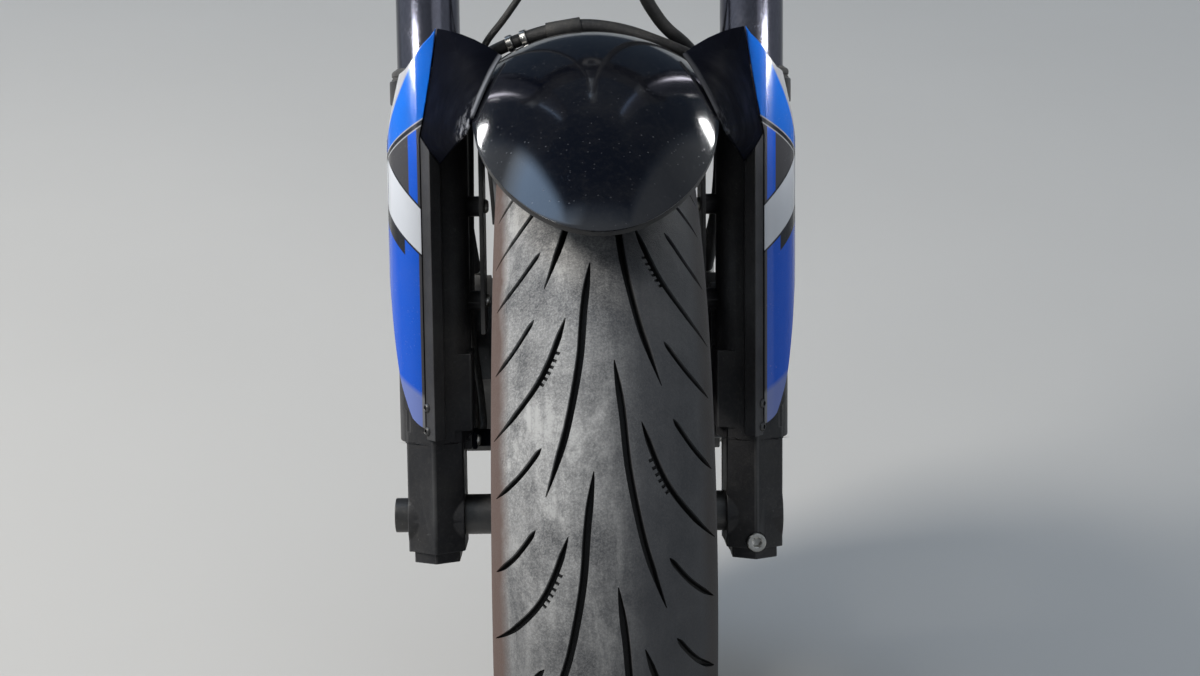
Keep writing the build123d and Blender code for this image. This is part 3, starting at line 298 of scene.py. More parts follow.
    def blend(self, share: Value, first: Value, second: Value) -> Socket:
        """Mix of two colours.

        Args:
            share: How much of the second colour shows.
            first: The first colour.
            second: The second colour.

        Returns:
            The mixed colour.
        """
        made = self.node("ShaderNodeMix", data_type="RGBA")
        self.feed(made.inputs["Factor"], share)
        self.feed(made.inputs[6], first)
        self.feed(made.inputs[7], second)
        return made.outputs[2]

    def bump(self, height: Value, strength: float, distance: float) -> Socket:
        """A normal from a height.

        Args:
            height: The height's socket.
            strength: How strongly it shows.
            distance: The height's depth in metres.

        Returns:
            The normal.
        """
        made = self.node("ShaderNodeBump")
        self.fill(made, {"Strength": strength, "Distance": distance, "Height": height})
        return made.outputs[0]

    def use(self, effect: NodeTree, **values) -> Node:
        """Place a shared effect.

        Args:
            effect: The shader group.
            values: What its inputs get, by name with underscores for spaces.

        Returns:
            The group's node.
        """
        made = self.node("ShaderNodeGroup", node_tree=effect)
        for name, value in values.items():
            self.feed(made.inputs[name.replace("_", " ").capitalize()], value)
        return made


def effect(name: str, takes: dict, gives: dict) -> tuple:
    """Start a shared shader group.

    Args:
        name: The effect's name.
        takes: Input names, each with its kind and first value.
        gives: Output names, each with its kind.

    Returns:
        The group, its wiring, its input sockets and its output node's sockets.
    """
    tree = bpy.data.node_groups.new(name, "ShaderNodeTree")
    for key, (kind, value) in takes.items():
        socket = tree.interface.new_socket(key, in_out="INPUT", socket_type="NodeSocket" + kind)
        if value is not None:
            socket.default_value = value
    for key, kind in gives.items():
        tree.interface.new_socket(key, in_out="OUTPUT", socket_type="NodeSocket" + kind)
    wiring = Wiring(tree)
    entry = wiring.node("NodeGroupInput")
    way_out = wiring.node("NodeGroupOutput")
    return tree, wiring, entry.outputs, way_out.inputs


class Effects:
    """The shader groups that several finishes share, each made once."""

    @staticmethod
    @cache
    def dust() -> NodeTree:
        """Road dust that settles in clouds and specks, more on faces that look up.

        Returns:
            The shader group.
        """
        takes = {
            "Vector": ("Vector", None),
            "Colour": ("Color", (0.0, 0.0, 0.0, 1.0)),
            "Dust colour": ("Color", (*DUST, 1.0)),
            "Amount": ("Float", 0.2),
            "Scale": ("Float", 30.0),
        }
        tree, wiring, entry, way_out = effect("road_dust", takes, {"Colour": "Color", "Mask": "Float"})
        clouds = wiring.noise(entry["Vector"], entry["Scale"], detail=5.0, rough=0.65)
        fine = wiring.noise(entry["Vector"], wiring.times(entry["Scale"], 14.0), detail=3.0, rough=0.7)
        patches = wiring.ramp(clouds, 0.38, 0.72)
        grains = wiring.ramp(fine, 0.5, 0.72)
        normal = wiring.node("ShaderNodeNewGeometry").outputs["Normal"]
        upward = wiring.ramp(wiring.split(normal)[2], -0.4, 1.0, 0.35, 1.0)
        film = wiring.plus(wiring.times(patches, 0.7), wiring.times(grains, 0.45))
        share = wiring.times(wiring.times(film, upward), entry["Amount"], clamp=True)
        wiring.feed(way_out["Colour"], wiring.blend(share, entry["Colour"], entry["Dust colour"]))
        wiring.feed(way_out["Mask"], share)
        return tree

    @staticmethod
    @cache
    def scratches() -> NodeTree:
        """Fine scratches, long and thin, in two directions.

        Returns:
            The shader group.
        """
        takes = {"Vector": ("Vector", None), "Scale": ("Float", 60.0), "Amount": ("Float", 0.5)}
        tree, wiring, entry, way_out = effect("fine_scratches", takes, {"Mask": "Float"})
        marks = []
        for turn in ((0.3, 0.2, 0.5), (1.1, 0.4, 2.2)):
            along = wiring.stretched(entry["Vector"], (1.0, 0.06, 1.0), turn)
            streaks = wiring.noise(along, wiring.times(entry["Scale"], 8.0), detail=2.0, rough=0.6)
            where = wiring.noise(entry["Vector"], entry["Scale"], detail=3.0)
            lines = wiring.ramp(streaks, 0.66, 0.72)
            marks.append(wiring.times(lines, wiring.ramp(where, 0.5, 0.65)))
        wiring.feed(way_out["Mask"], wiring.times(wiring.highest(*marks), entry["Amount"]))
        return tree

    @staticmethod
    @cache
    def grain() -> NodeTree:
        """Height of a cast or moulded skin: a fine pebble over slow waves.

        Returns:
            The shader group.
        """
        takes = {"Vector": ("Vector", None), "Scale": ("Float", 900.0)}
        tree, wiring, entry, way_out = effect("skin_grain", takes, {"Height": "Float"})
        pebble = wiring.cells(entry["Vector"], entry["Scale"])
        waves = wiring.noise(entry["Vector"], wiring.times(entry["Scale"], 0.12), detail=3.0)
        wiring.feed(way_out["Height"], wiring.plus(wiring.times(pebble, 0.6), wiring.times(waves, 0.8)))
        return tree

    @staticmethod
    @cache
    def fork_place() -> NodeTree:
        """Where a point is in the fork's frame, in millimetres, the sides folded together.

        Returns:
            The shader group.
        """
        gives = {"Across": "Float", "Back": "Float", "Up": "Float"}
        tree, wiring, entry, way_out = effect("fork_place", {"Vector": ("Vector", None)}, gives)
        centred = wiring.vectors("SUBTRACT", entry["Vector"], AXLE)
        across, back, up = wiring.split(wiring.stretched(centred, (1 / MM,) * 3, (RAKE, 0.0, 0.0)))
        wiring.feed(way_out["Across"], wiring.math("ABSOLUTE", across))
        wiring.feed(way_out["Back"], back)
        wiring.feed(way_out["Up"], up)
        return tree

    @staticmethod
    @cache
    def wheel_place() -> NodeTree:
        """Where a point is on the wheel, in millimetres: from the axle, and from the wheel's middle.

        Returns:
            The shader group.
        """
        gives = {"Radius": "Float", "Across": "Float"}
        tree, wiring, entry, way_out = effect("wheel_place", {"Vector": ("Vector", None)}, gives)
        across, back, up = wiring.split(wiring.vectors("SUBTRACT", entry["Vector"], AXLE))
        flat = wiring.math("SQRT", wiring.plus(wiring.times(back, back), wiring.times(up, up)))
        wiring.feed(way_out["Radius"], wiring.times(flat, 1 / MM))
        wiring.feed(way_out["Across"], wiring.times(wiring.math("ABSOLUTE", across), 1 / MM))
        return tree


def toned(colour: tuple, share: float, lift: float = 0.0) -> tuple:
    """A colour made darker or lighter.

    Args:
        colour: The colour.
        share: What it is multiplied by.
        lift: What is added after that.

    Returns:
        The new colour, none of its parts above 1.
    """
    return tuple(min(1.0, share * part + lift) for part in colour)


def grey(level: float) -> tuple:
    """A neutral grey."""
    return (level, level, level)


@dataclass(frozen=True)
class Finish:
    """A finish that a piece can have; each kind fills in its own shader."""

    name: str

    def wire(self, wiring: Wiring, surface: Node) -> None:
        """Fill in the shader.

        Args:
            wiring: The material's wiring.
            surface: Its Principled BSDF.
        """
        raise NotImplementedError

    def material(self) -> bpy.types.Material:
        """Make the material the first time it is asked for.

        Returns:
            The material.
        """
        found = bpy.data.materials.get(self.name + "_finish")
        if found:
            return found
        made = bpy.data.materials.new(self.name + "_finish")
        made.use_nodes = True
        self.wire(Wiring(made.node_tree), made.node_tree.nodes["Principled BSDF"])
        return made


@dataclass(frozen=True)
class Skin(Finish):
    """Paint, moulded plastic or cast metal: one colour with grain, dust and fine scratches."""

    colour: tuple = grey(0.02)
    worn: tuple = grey(0.12)
    roughness: float = 0.45
    metallic: float = 0.0
    coat: float = 0.0
    coat_roughness: float = 0.1
    grain: float = 0.15
    grain_scale: float = 900.0
    dust: float = 0.18
    dust_scale: float = 26.0
    scratches: float = 0.3
    sheen_level: float = 0.5
    edge_wear: float = 0.3
    bending: float = 1.45

    def wire(self, wiring: Wiring, surface: Node) -> None:
        """Fill in the shader: mottled colour under scratches and dust, roughness that follows them.

        Args:
            wiring: The material's wiring.
            surface: Its Principled BSDF.
        """
        spot = wiring.place()
        shade = wiring.ramp(wiring.noise(spot, self.dust_scale * 0.7, detail=3.0), *MIDDLE)
        colour = wiring.blend(shade, toned(self.colour, 0.8), toned(self.colour, 1.25, 0.001))
        marks = wiring.use(Effects.scratches(), vector=spot, scale=self.dust_scale * 2, amount=self.scratches)
        colour = wiring.blend(marks.outputs[0], colour, self.worn)
        corners = wiring.node("ShaderNodeNewGeometry").outputs["Pointiness"]
        edges = wiring.ramp(corners, *SHARP, 0.0, self.edge_wear)
        colour = wiring.blend(wiring.times(edges, wiring.ramp(shade, 0.2, 0.8, 0.3, 1.0)), colour, self.worn)
        film = wiring.use(Effects.dust(), vector=spot, colour=colour, amount=self.dust, scale=self.dust_scale)
        cloud = wiring.noise(spot, self.dust_scale * 2.5, detail=4.0)
        rough = wiring.ramp(cloud, *MIDDLE, self.roughness * 0.85, self.roughness * 1.18)
        pebble = wiring.use(Effects.grain(), vector=spot, scale=self.grain_scale)
        wiring.fill(surface, {
            "Base Color": film.outputs["Colour"],
            "Roughness": wiring.plus(rough, wiring.times(film.outputs["Mask"], 0.4), clamp=True),
            "Metallic": self.metallic,
            "Specular IOR Level": self.sheen_level,
            "IOR": self.bending,
            "Coat Weight": self.coat,
            "Coat Roughness": self.coat_roughness,
            "Normal": wiring.bump(pebble.outputs[0], strength=self.grain, distance=SKIN_DEPTH),
        })


@dataclass(frozen=True)
class ScuffedPlastic(Skin):
    """Moulded plastic with a painted highlight along the seam to the mudguard and pale scuffs round the
    corner at its foot.
    """

    corner: tuple = (0.0815, -0.3050, -0.2290)
    corner_reach: float = 0.036
    # Seam: a painted highlight along the cover's edge, drawn as a pale line through these points
    seam: tuple = ((0.0725, -0.2973, -0.2180), (0.0646, -0.2592, -0.2120), (0.0573, -0.2120, -0.2137))
    seam_highlight_reach: float = 0.0032
    seam_highlight_share: float = 0.55
    scuff_and_highlight: tuple = (0.32, 0.32, 0.34)
    middle_blur: float = 0.01
    right_share: float = 0.2

    def beside(self, wiring: Wiring, spot: Socket, start: tuple, end: tuple) -> Socket:
        """How close the spot lies to the line between two places.

        Args:
            wiring: The material's wiring.
            spot: The spot's coordinates.
            start: One end of the line.
            end: Its other end.

        Returns:
            The closeness, 0 off the line and 1 on it.
        """
        start, end = Vector(start), Vector(end)
        half = (end - start).length / 2
        away = wiring.vectors("SUBTRACT", spot, start)
        swept = wiring.vectors("CROSS_PRODUCT", away, (end - start).normalized())
        off_line = wiring.vectors("LENGTH", swept, gives="Value")
        off_middle = wiring.vectors("DISTANCE", spot, (start + end) / 2, "Value")
        line = wiring.ramp(off_line, self.seam_highlight_reach, self.seam_highlight_reach * 0.4)
        return wiring.times(line, wiring.ramp(off_middle, half * 1.1, half))

    def wire(self, wiring: Wiring, surface: Node) -> None:
        """Fill in the shader: the plain skin, then broken pale scuff strokes round the corner and a painted
        highlight line along the seam.

        Args:
            wiring: The material's wiring.
            surface: Its Principled BSDF.
        """
        super().wire(wiring, surface)
        spot = wiring.place()
        across, back, up = wiring.split(spot)
        folded = wiring.node("ShaderNodeCombineXYZ")
        wiring.fill(folded, {"X": wiring.math("ABSOLUTE", across), "Y": back, "Z": up})
        one_side = folded.outputs[0]
        drawn = wiring.stretched(spot, (1.0, 0.35, 0.6), (0.5, 0.0, 0.0))
        strokes = wiring.ramp(wiring.noise(drawn, 260.0, detail=5.0, rough=0.7), 0.46, 0.62)
        off_corner = wiring.vectors("DISTANCE", one_side, self.corner, "Value")
        worn = wiring.times(wiring.ramp(off_corner, self.corner_reach, self.corner_reach * 0.2), strokes)
        # Painted highlight: a pale line along the cover's lit edge at the seam
        for start, end in zip(self.seam, self.seam[1:]):
            line = self.beside(wiring, one_side, start, end)
            worn = wiring.highest(worn, wiring.times(line, self.seam_highlight_share))
        # The scuffs and the painted highlight are weaker on the right half
        fading = wiring.ramp(across, -self.middle_blur, self.middle_blur, 1.0, self.right_share)
        plain = surface.inputs["Base Color"].links[0].from_socket
        worn = wiring.times(worn, fading)
        wiring.feed(surface.inputs["Base Color"], wiring.blend(worn, plain, self.scuff_and_highlight))


@dataclass(frozen=True)
class Metal(Finish):
    """Bare or plated metal, ground or drawn along one direction."""

    colour: tuple = grey(0.5)
    roughness: float = 0.3
    lines: tuple = (1.0, 1.0, 0.05)
    line_scale: float = 600.0
    line_depth: float = 0.12
    stain: tuple = (0.2, 0.17, 0.14)
    stained: float = 0.15
    turn: tuple = ORIGIN

    def wire(self, wiring: Wiring, surface: Node) -> None:
        """Fill in the shader: drawn lines in colour, roughness and height, and faint stains.

        Args:
            wiring: The material's wiring.
            surface: Its Principled BSDF.
        """
        spot = wiring.place()
        drawn = wiring.stretched(spot, self.lines, self.turn)
        drawn = wiring.noise(drawn, self.line_scale, detail=3.0, rough=0.6)
        cloud = wiring.noise(spot, 45.0, detail=5.0, rough=0.6)
        tone = wiring.blend(wiring.ramp(drawn, *MIDDLE), toned(self.colour, 0.86), toned(self.colour, 1.12))
        rough = wiring.ramp(drawn, *MIDDLE, self.roughness * 0.8, self.roughness * 1.2)
        wiring.fill(surface, {
            "Base Color": wiring.blend(wiring.ramp(cloud, *STAINS, 0.0, self.stained), tone, self.stain),
            "Metallic": 1.0,
            "Roughness": wiring.plus(rough, wiring.ramp(cloud, *STAINS, 0.0, 0.15), clamp=True),
            "Normal": wiring.bump(drawn, strength=self.line_depth, distance=GROUND_DEPTH),
        })


@dataclass(frozen=True)
class DiscSteel(Finish):
    """The brake disc's steel: rings ground by the pads, darker at the edges of the swept band."""

    colour: tuple = (0.50, 0.49, 0.48)
    unswept: tuple = (0.30, 0.28, 0.26)
    inner: float = 121.0
    outer: float = 147.5

    def wire(self, wiring: Wiring, surface: Node) -> None:
        """Fill in the shader from the distance to the axle.

        Args:
            wiring: The material's wiring.
            surface: Its Principled BSDF.
        """
        radius = wiring.use(Effects.wheel_place(), vector=wiring.place()).outputs["Radius"]
        rings = wiring.node("ShaderNodeTexNoise", noise_dimensions="1D")
        wiring.fill(rings, {"W": radius, "Scale": 3.0, "Detail": 5.0})
        ring = rings.outputs["Fac"]
        beyond = wiring.ramp(radius, self.outer, self.outer + 1.0, 1.0, 0.0)
        swept = wiring.times(wiring.ramp(radius, self.inner - 1.5, self.inner), beyond)
        ground = wiring.blend(wiring.ramp(ring, *MIDDLE), toned(self.colour, 0.82), toned(self.colour, 1.15))
        wiring.fill(surface, {
            "Base Color": wiring.blend(swept, self.unswept, ground),
            "Metallic": 1.0,
            "Roughness": wiring.minus(wiring.ramp(ring, *MIDDLE, 0.38, 0.5), wiring.times(swept, 0.16)),
            "Normal": wiring.bump(ring, strength=0.15, distance=GROUND_DEPTH),
        })


@dataclass(frozen=True)
class TyreRubber(Finish):
    """Used tread rubber: dusty grey on the running crown, browner on the shoulders, black in the grooves.
    Painted sunlight makes the left half paler, the right shoulder is a painted-shade copy of the shoulder
    colour, and the grooves' black is partly painted shade.
    """

    worn: tuple = (0.036, 0.037, 0.041)
    # The dust colour, brightened so that the painted sunlight on the left half reads as lit
    sunlit_dust: tuple = (0.44, 0.43, 0.415)
    shoulder: tuple = (0.115, 0.078, 0.066)
    # shaded: the shoulder's colour in painted shade, used on the right half
    shaded: tuple = (0.036, 0.031, 0.030)
    # The grooves' floor: darker unworn rubber with painted shade on top
    unworn_and_shaded: tuple = grey(0.010)
    wall: tuple = (0.026, 0.026, 0.027)
    groove_depths: tuple = (0.5, 1.6)
    # Painted sunlight: across these X limits, in metres, the dust share goes from the first share to the
    # second, so the left half reads as lit and the right half as shaded
    sun_edge: tuple = (-0.022, 0.020)
    sun_shares: tuple = (1.40, 0.14)
    heights: tuple = (-0.43, -0.34)
    low_share: float = 0.45
    shoulder_across: tuple = (50.0, 55.5)
    shoulder_wander: float = 1.8
    wall_radii: tuple = (258.0, 262.0)

    def wire(self, wiring: Wiring, surface: Node) -> None:
        """Fill in the shader from the place across the crown and the depth under it.

        Args:
            wiring: The material's wiring.
            surface: Its Principled BSDF.
        """
        spot = wiring.place()
        wheel = wiring.use(Effects.wheel_place(), vector=spot)
        radius, across = wheel.outputs["Radius"], wheel.outputs["Across"]
        over = wiring.minus(radius, CROWN_CENTRE)
        squares = wiring.plus(wiring.times(over, over), wiring.times(across, across))
        sunk = wiring.ramp(wiring.minus(CROWN_RADIUS, wiring.math("SQRT", squares)), *self.groove_depths)
        patches = wiring.noise(spot, 24.0, detail=6.0, rough=0.7)
        specks = wiring.noise(spot, 900.0, detail=3.0, rough=0.75)
        grit = wiring.noise(spot, 190.0, detail=5.0, rough=0.8)
        clouds = wiring.ramp(patches, 0.38, 0.70, 0.06, 0.52)
        dust = wiring.plus(clouds, wiring.ramp(specks, 0.42, 0.72, 0.0, 0.36))
        dust = wiring.plus(dust, wiring.ramp(grit, 0.46, 0.74, 0.0, 0.20))
        # Painted sunlight: the dust share and the smears are scaled up on the left and down on the right
        sunny = wiring.ramp(wiring.split(spot)[0], *self.sun_edge, *self.sun_shares)
        dust = wiring.times(dust, sunny, clamp=True)
        slanting = wiring.stretched(spot, (1.0, 0.35, 0.35), (0.0, 0.0, 0.5))
        smears = wiring.noise(slanting, 34.0, detail=6.0, rough=0.7, twist=0.6)
        smears = wiring.times(wiring.ramp(smears, 0.55, 0.75, 0.0, 0.6), sunny)
        # Less of the pale share low on the tyre: darker towards the bottom
        high = wiring.ramp(wiring.split(spot)[2], *self.heights, self.low_share, 1.0)
        dust = wiring.times(wiring.plus(dust, smears, clamp=True), high)
        running = wiring.blend(dust, self.worn, self.sunlit_dust)
        stripes = wiring.noise(wiring.stretched(spot, (1.0, 0.08, 0.08)), 260.0, detail=3.0, rough=0.6)
        running = wiring.blend(wiring.ramp(stripes, 0.45, 0.75, 0.0, 0.3), running, self.worn)
        wander = wiring.ramp(patches, *MIDDLE, -self.shoulder_wander, self.shoulder_wander)
        edge = wiring.ramp(wiring.plus(across, wander), *self.shoulder_across)
        # Shoulder: brown where the painted sunlight falls, the painted-shade copy on the right
        shoulder = wiring.blend(wiring.ramp(sunny, 0.3, 1.0), self.shaded, self.shoulder)
        tread = wiring.blend(edge, running, shoulder)
        low = wiring.ramp(radius, *self.wall_radii, 1.0, 0.0)
        sides = wiring.blend(wiring.ramp(specks, 0.45, 0.8, 0.0, 0.3), self.wall, DUST)
        # Grooves painted near black below the crown: partly unworn rubber, partly painted shade
        deep = wiring.times(sunk, wiring.rest(low))
        rough_skin = wiring.plus(wiring.times(specks, 0.8), wiring.noise(spot, 1500.0, detail=2.0))
        wiring.fill(surface, {
            "Base Color": wiring.blend(deep, wiring.blend(low, tread, sides), self.unworn_and_shaded),
            "Roughness": wiring.ramp(dust, 0.0, 1.0, 0.50, 0.88),
            "Specular IOR Level": 0.30,
            "Normal": wiring.bump(rough_skin, strength=0.35, distance=SKIN_DEPTH),
        })


@dataclass(frozen=True)
class GuardPaint(Finish):
    """The leg guards' colours: blue lacquer with a white slanting band and dark fields between thin lines;
    above the slanting split the blue is painted lighter, as sun and sky light.
    """

    blue: tuple = (0.001, 0.075, 0.54)
    # The blue above the split, painted lighter as sun and sky light
    sunlit_blue: tuple = (0.002, 0.110, 0.52)
    white: tuple = (0.59, 0.605, 0.64)
    dark: tuple = (0.050, 0.048, 0.052)
    line_colour: tuple = (0.010, 0.011, 0.015)
    silver: tuple = (0.34, 0.34, 0.35)
    scratched: tuple = (0.5, 0.5, 0.52)
    leg_x: float = 110.0
    split_height: float = 273.5
    split_slope: float = -0.33
    gap: float = 1.5
    light_edge: float = 0.9
    band_top: float = 208.3
    band_top_slope: float = 0.56
    band_foot: float = 178.8
    band_foot_slope: float = 0.49
    band_line: float = 1.6
    notch_drops: tuple = (12.0, 1.4)
    notch_angles: tuple = (33.0, 34.0)
    inner_step: float = 13.5
    field_edge: float = 25.5
    angle_blur: float = 0.4
    border_height: float = 326.0
    border_slope: float = -0.92
    border_blur: float = 1.2
    foot_height: float = 84.0
    foot_slope: float = 0.35
    foot_blur: float = 2.0
    foot_share: float = 0.45

    def wire(self, wiring: Wiring, surface: Node) -> None:
        """Fill in the shader from the angle round the leg and the height along it.

        Args:
            wiring: The material's wiring.
            surface: Its Principled BSDF.
        """
        spot = wiring.place()
        fork = wiring.use(Effects.fork_place(), vector=spot)
        out = wiring.minus(fork.outputs["Across"], self.leg_x)
        ahead = wiring.times(fork.outputs["Back"], -1.0)
        angle = wiring.times(wiring.math("ARCTAN2", out, ahead), math.degrees(1.0))
        up = fork.outputs["Up"]

        def above(height: float, slope: float, blur: float = 0.25) -> Socket:
            """Mask of what lies above a slanting line round the leg."""
            level = wiring.plus(wiring.times(angle, slope), height)
            return wiring.ramp(wiring.minus(up, level), -blur, blur)

        def strip(low: float, high: float, low_slope: float, high_slope: float) -> Socket:
            """Mask of what lies between two slanting lines."""
            return wiring.times(above(low, low_slope), wiring.rest(above(high, high_slope)))

        def seam(half: float) -> Socket:
            """Mask of the slanting line between the blue and the blue painted lighter above it, by half its
            width.
            """
            return strip(split - half, split + half, slope, slope)

        split, slope, blur = self.split_height, self.split_slope, self.angle_blur
        band_slopes = (self.band_foot_slope, self.band_top_slope)
        flakes = wiring.ramp(wiring.cells(spot, 2600.0), 0.1, 0.7, 0.0, 0.2)
        # Painted light: the blue above the split is lighter, as if lit by sun and sky; the flakes take its
        # tone
        colour = wiring.blend(above(split, slope), self.blue, self.sunlit_blue)
        colour = wiring.blend(flakes, colour, toned(self.sunlit_blue, 1.5, 0.002))
        outside = wiring.ramp(angle, self.field_edge - blur, self.field_edge + blur)
        middle = wiring.times(strip(self.band_top, split, self.band_top_slope, slope), outside)
        inside = wiring.ramp(angle, self.inner_step - blur, self.inner_step + blur, 1.0, 0.0)
        below = wiring.times(wiring.rest(above(split, slope)), inside)
        border = above(self.border_height, self.border_slope, self.border_blur)
        lines = strip(self.band_foot - self.band_line, self.band_top + self.band_line, *band_slopes)
        band = strip(self.band_foot, self.band_top, *band_slopes)
        low, high = (self.band_foot - drop for drop in self.notch_drops)
        notch = strip(low, high, self.band_foot_slope, self.band_foot_slope)
        notch = wiring.times(notch, wiring.ramp(angle, *self.notch_angles))
        foot = wiring.rest(above(self.foot_height, self.foot_slope, self.foot_blur))
        layers = (
            (middle, self.dark),
            (below, self.dark),
            (border, self.silver),
            (lines, self.line_colour),
            (band, self.white),
            (notch, self.line_colour),
            (seam(self.gap + self.light_edge), self.silver),
            (seam(self.gap), self.line_colour),
            (wiring.times(foot, self.foot_share), self.silver),
        )
        for mask, over in layers:
            colour = wiring.blend(mask, colour, over)
        film = wiring.use(Effects.dust(), vector=spot, colour=colour, amount=0.05, scale=40.0)
        marks = wiring.use(Effects.scratches(), vector=spot, scale=70.0, amount=0.12)
        wiring.fill(surface, {
            "Base Color": wiring.blend(marks.outputs[0], film.outputs["Colour"], self.scratched),
            "Roughness": wiring.ramp(film.outputs["Mask"], 0.0, 0.3, 0.22, 0.40),
            "Specular IOR Level": 0.22,
            "Coat Weight": 0.35,
            "Coat Roughness": 0.11,
            "Normal": wiring.bump(wiring.noise(spot, 160.0, detail=3.0), strength=0.06, distance=SKIN_DEPTH),
        })


@dataclass(frozen=True)
class GlossBlack(Finish):
    """Polished black moulding with dust specks and faint swirls."""

    # A near black tinted blue: the blue is a painted reflection of the sky
    colour: tuple = (0.003, 0.0036, 0.0065)
    speck: tuple = (0.35, 0.35, 0.36)
    speck_share: float = 0.22

    def wire(self, wiring: Wiring, surface: Node) -> None:
        """Fill in the shader: a clear coat over black, with fine pale specks.

        Args:
            wiring: The material's wiring.
            surface: Its Principled BSDF.
        """
        spot = wiring.place()
        specks = wiring.ramp(wiring.cells(spot, 260.0), 0.15, 0.09)
        where = wiring.ramp(wiring.noise(spot, 34.0, detail=5.0, rough=0.7), 0.42, 0.62)
        grit = wiring.times(wiring.times(specks, where), self.speck_share)
        film = wiring.use(Effects.dust(), vector=spot, colour=self.colour, amount=0.035, scale=22.0)
        swirls = wiring.use(Effects.scratches(), vector=spot, scale=50.0, amount=0.12)
        rough = wiring.plus(wiring.plus(0.10, swirls.outputs[0]), wiring.times(grit, 0.6), clamp=True)
        ripple = wiring.times(wiring.noise(spot, 60.0, detail=2.0), 0.15)
        wiring.fill(surface, {
            "Base Color": wiring.blend(grit, film.outputs["Colour"], self.speck),
            "Roughness": rough,
            "Specular IOR Level": 0.40,
            "Coat Weight": 0.15,
            "Coat Roughness": 0.03,
            "Normal": wiring.bump(wiring.plus(grit, ripple), strength=0.12, distance=0.0005),
        })


@dataclass(frozen=True)
class Floor(Finish):
    """Plain pale ground."""

    colour: tuple = (0.60, 0.575, 0.54)

    def wire(self, wiring: Wiring, surface: Node) -> None:
        """Fill in the shader: a faint cloud in one pale colour.

        Args:
            wiring: The material's wiring.
            surface: Its Principled BSDF.
        """
        cloud = wiring.ramp(wiring.noise(wiring.place(), 2.0, detail=5.0), *MIDDLE)
        colour = wiring.blend(cloud, toned(self.colour, 0.97), self.colour)
        wiring.fill(surface, {"Base Color": colour, "Roughness": 0.85})


FINISHES = {
    "chrome_tube": Metal(
        "hard_chrome", (0.12, 0.12, 0.145), roughness=0.17, lines=(1.0, 1.0, 0.02), line_scale=900.0,
        line_depth=0.05, stain=(0.12, 0.11, 0.12), stained=0.12, turn=(RAKE, 0.0, 0.0),
    ),
    "black_alloy": Skin(
        "black_anodising", (0.018, 0.018, 0.02), worn=grey(0.2), roughness=0.38, metallic=0.6, grain=0.06,
    ),
    "rubber": Skin(
        "seal_rubber", grey(0.016), worn=grey(0.06), roughness=0.62, grain=0.25, dust=0.3, scratches=0.1,
    ),
    "satin_black_casting": Skin(
        "leg_paint", (0.013, 0.013, 0.015), roughness=0.42, grain=0.22, grain_scale=700.0, dust=0.12,
        sheen_level=0.35,
    ),
    "caliper_paint": Skin(
        "caliper_paint", (0.015, 0.015, 0.016), worn=grey(0.3), roughness=0.36, coat=0.2, grain=0.14,
        dust=0.22,
    ),
    "pad": Skin(
        "pad_backing", (0.06, 0.05, 0.045), worn=(0.2, 0.18, 0.15), roughness=0.7, grain=0.4, dust=0.4,
    ),
    "zinc_steel": Metal("zinc_plate", (0.52, 0.51, 0.48), roughness=0.32, stained=0.3),
    "black_steel": Skin(
        "black_oxide", (0.03, 0.03, 0.031), worn=grey(0.25), roughness=0.4, metallic=0.7, grain=0.08,
        dust=0.2,
    ),
    "disc_steel": DiscSteel("disc_steel"),
    "carrier_alloy": Skin(
        "carrier_anodising", (0.05, 0.05, 0.052), worn=grey(0.4), roughness=0.34, metallic=0.8, grain=0.08,
        dust=0.25,
    ),
    "black_plastic": ScuffedPlastic(
        "moulded_plastic", (0.0028, 0.0032, 0.0055), worn=(0.10, 0.10, 0.11), roughness=0.60, grain=0.08,
        grain_scale=1100.0, dust=0.0, scratches=0.05, sheen_level=0.4, edge_wear=0.0, bending=1.06,
    ),
    "blue_panel": GuardPaint("guard_lacquer"),
    "grey_trim": Skin(
        "trim_plastic", (0.024, 0.0235, 0.026), roughness=0.5, grain=0.3, grain_scale=1300.0, dust=0.10,
        scratches=0.2, sheen_level=0.3,
    ),
    "stem_steel": Metal("stem_steel", grey(0.46), roughness=0.28, line_scale=500.0),
    "bearing_steel": Metal(
        "bearing_steel", (0.55, 0.55, 0.56), roughness=0.2, lines=(1.0, 1.0, 1.0), line_scale=300.0,
    ),
    "yoke_casting": Skin(
        "yoke_paint", (0.022, 0.022, 0.024), worn=grey(0.2), roughness=0.4, metallic=0.3, grain=0.28,
        grain_scale=600.0, dust=0.14,
    ),
    "gloss_black": Skin(
        "guard_plastic", (0.008, 0.008, 0.009), worn=grey(0.15), roughness=0.36, grain=0.12, dust=0.10,
        sheen_level=0.2,
    ),
    "hose": Skin(
        "hose_rubber", (0.015, 0.015, 0.016), worn=grey(0.08), roughness=0.55, grain=0.3,
        grain_scale=1500.0, dust=0.22,
    ),
    "rim_paint": Skin(
        "wheel_paint", (0.014, 0.014, 0.015), worn=grey(0.2), roughness=0.3, coat=0.4, grain=0.06,
        dust=0.2,
    ),
    "tyre": TyreRubber("tread_rubber"),
}


def placed(name: str, data: bpy.types.ID) -> Object:
    """A new object in the scene.

    Args:
        name: Its name.
        data: Its mesh, lamp or camera.

    Returns:
        The object.
    """
    made = bpy.data.objects.new(name, data)
    bpy.context.scene.collection.objects.link(made)
    return made


def as_mesh(bm: BMesh, name: str) -> bpy.types.Mesh:
    """A bmesh written to a new mesh.

    Args:
        bm: The bmesh; it is freed.
        name: The mesh's name.

    Returns:
        The mesh.
    """
    mesh = bpy.data.meshes.new(name)
    bm.to_mesh(mesh)
    bm.free()
    return mesh


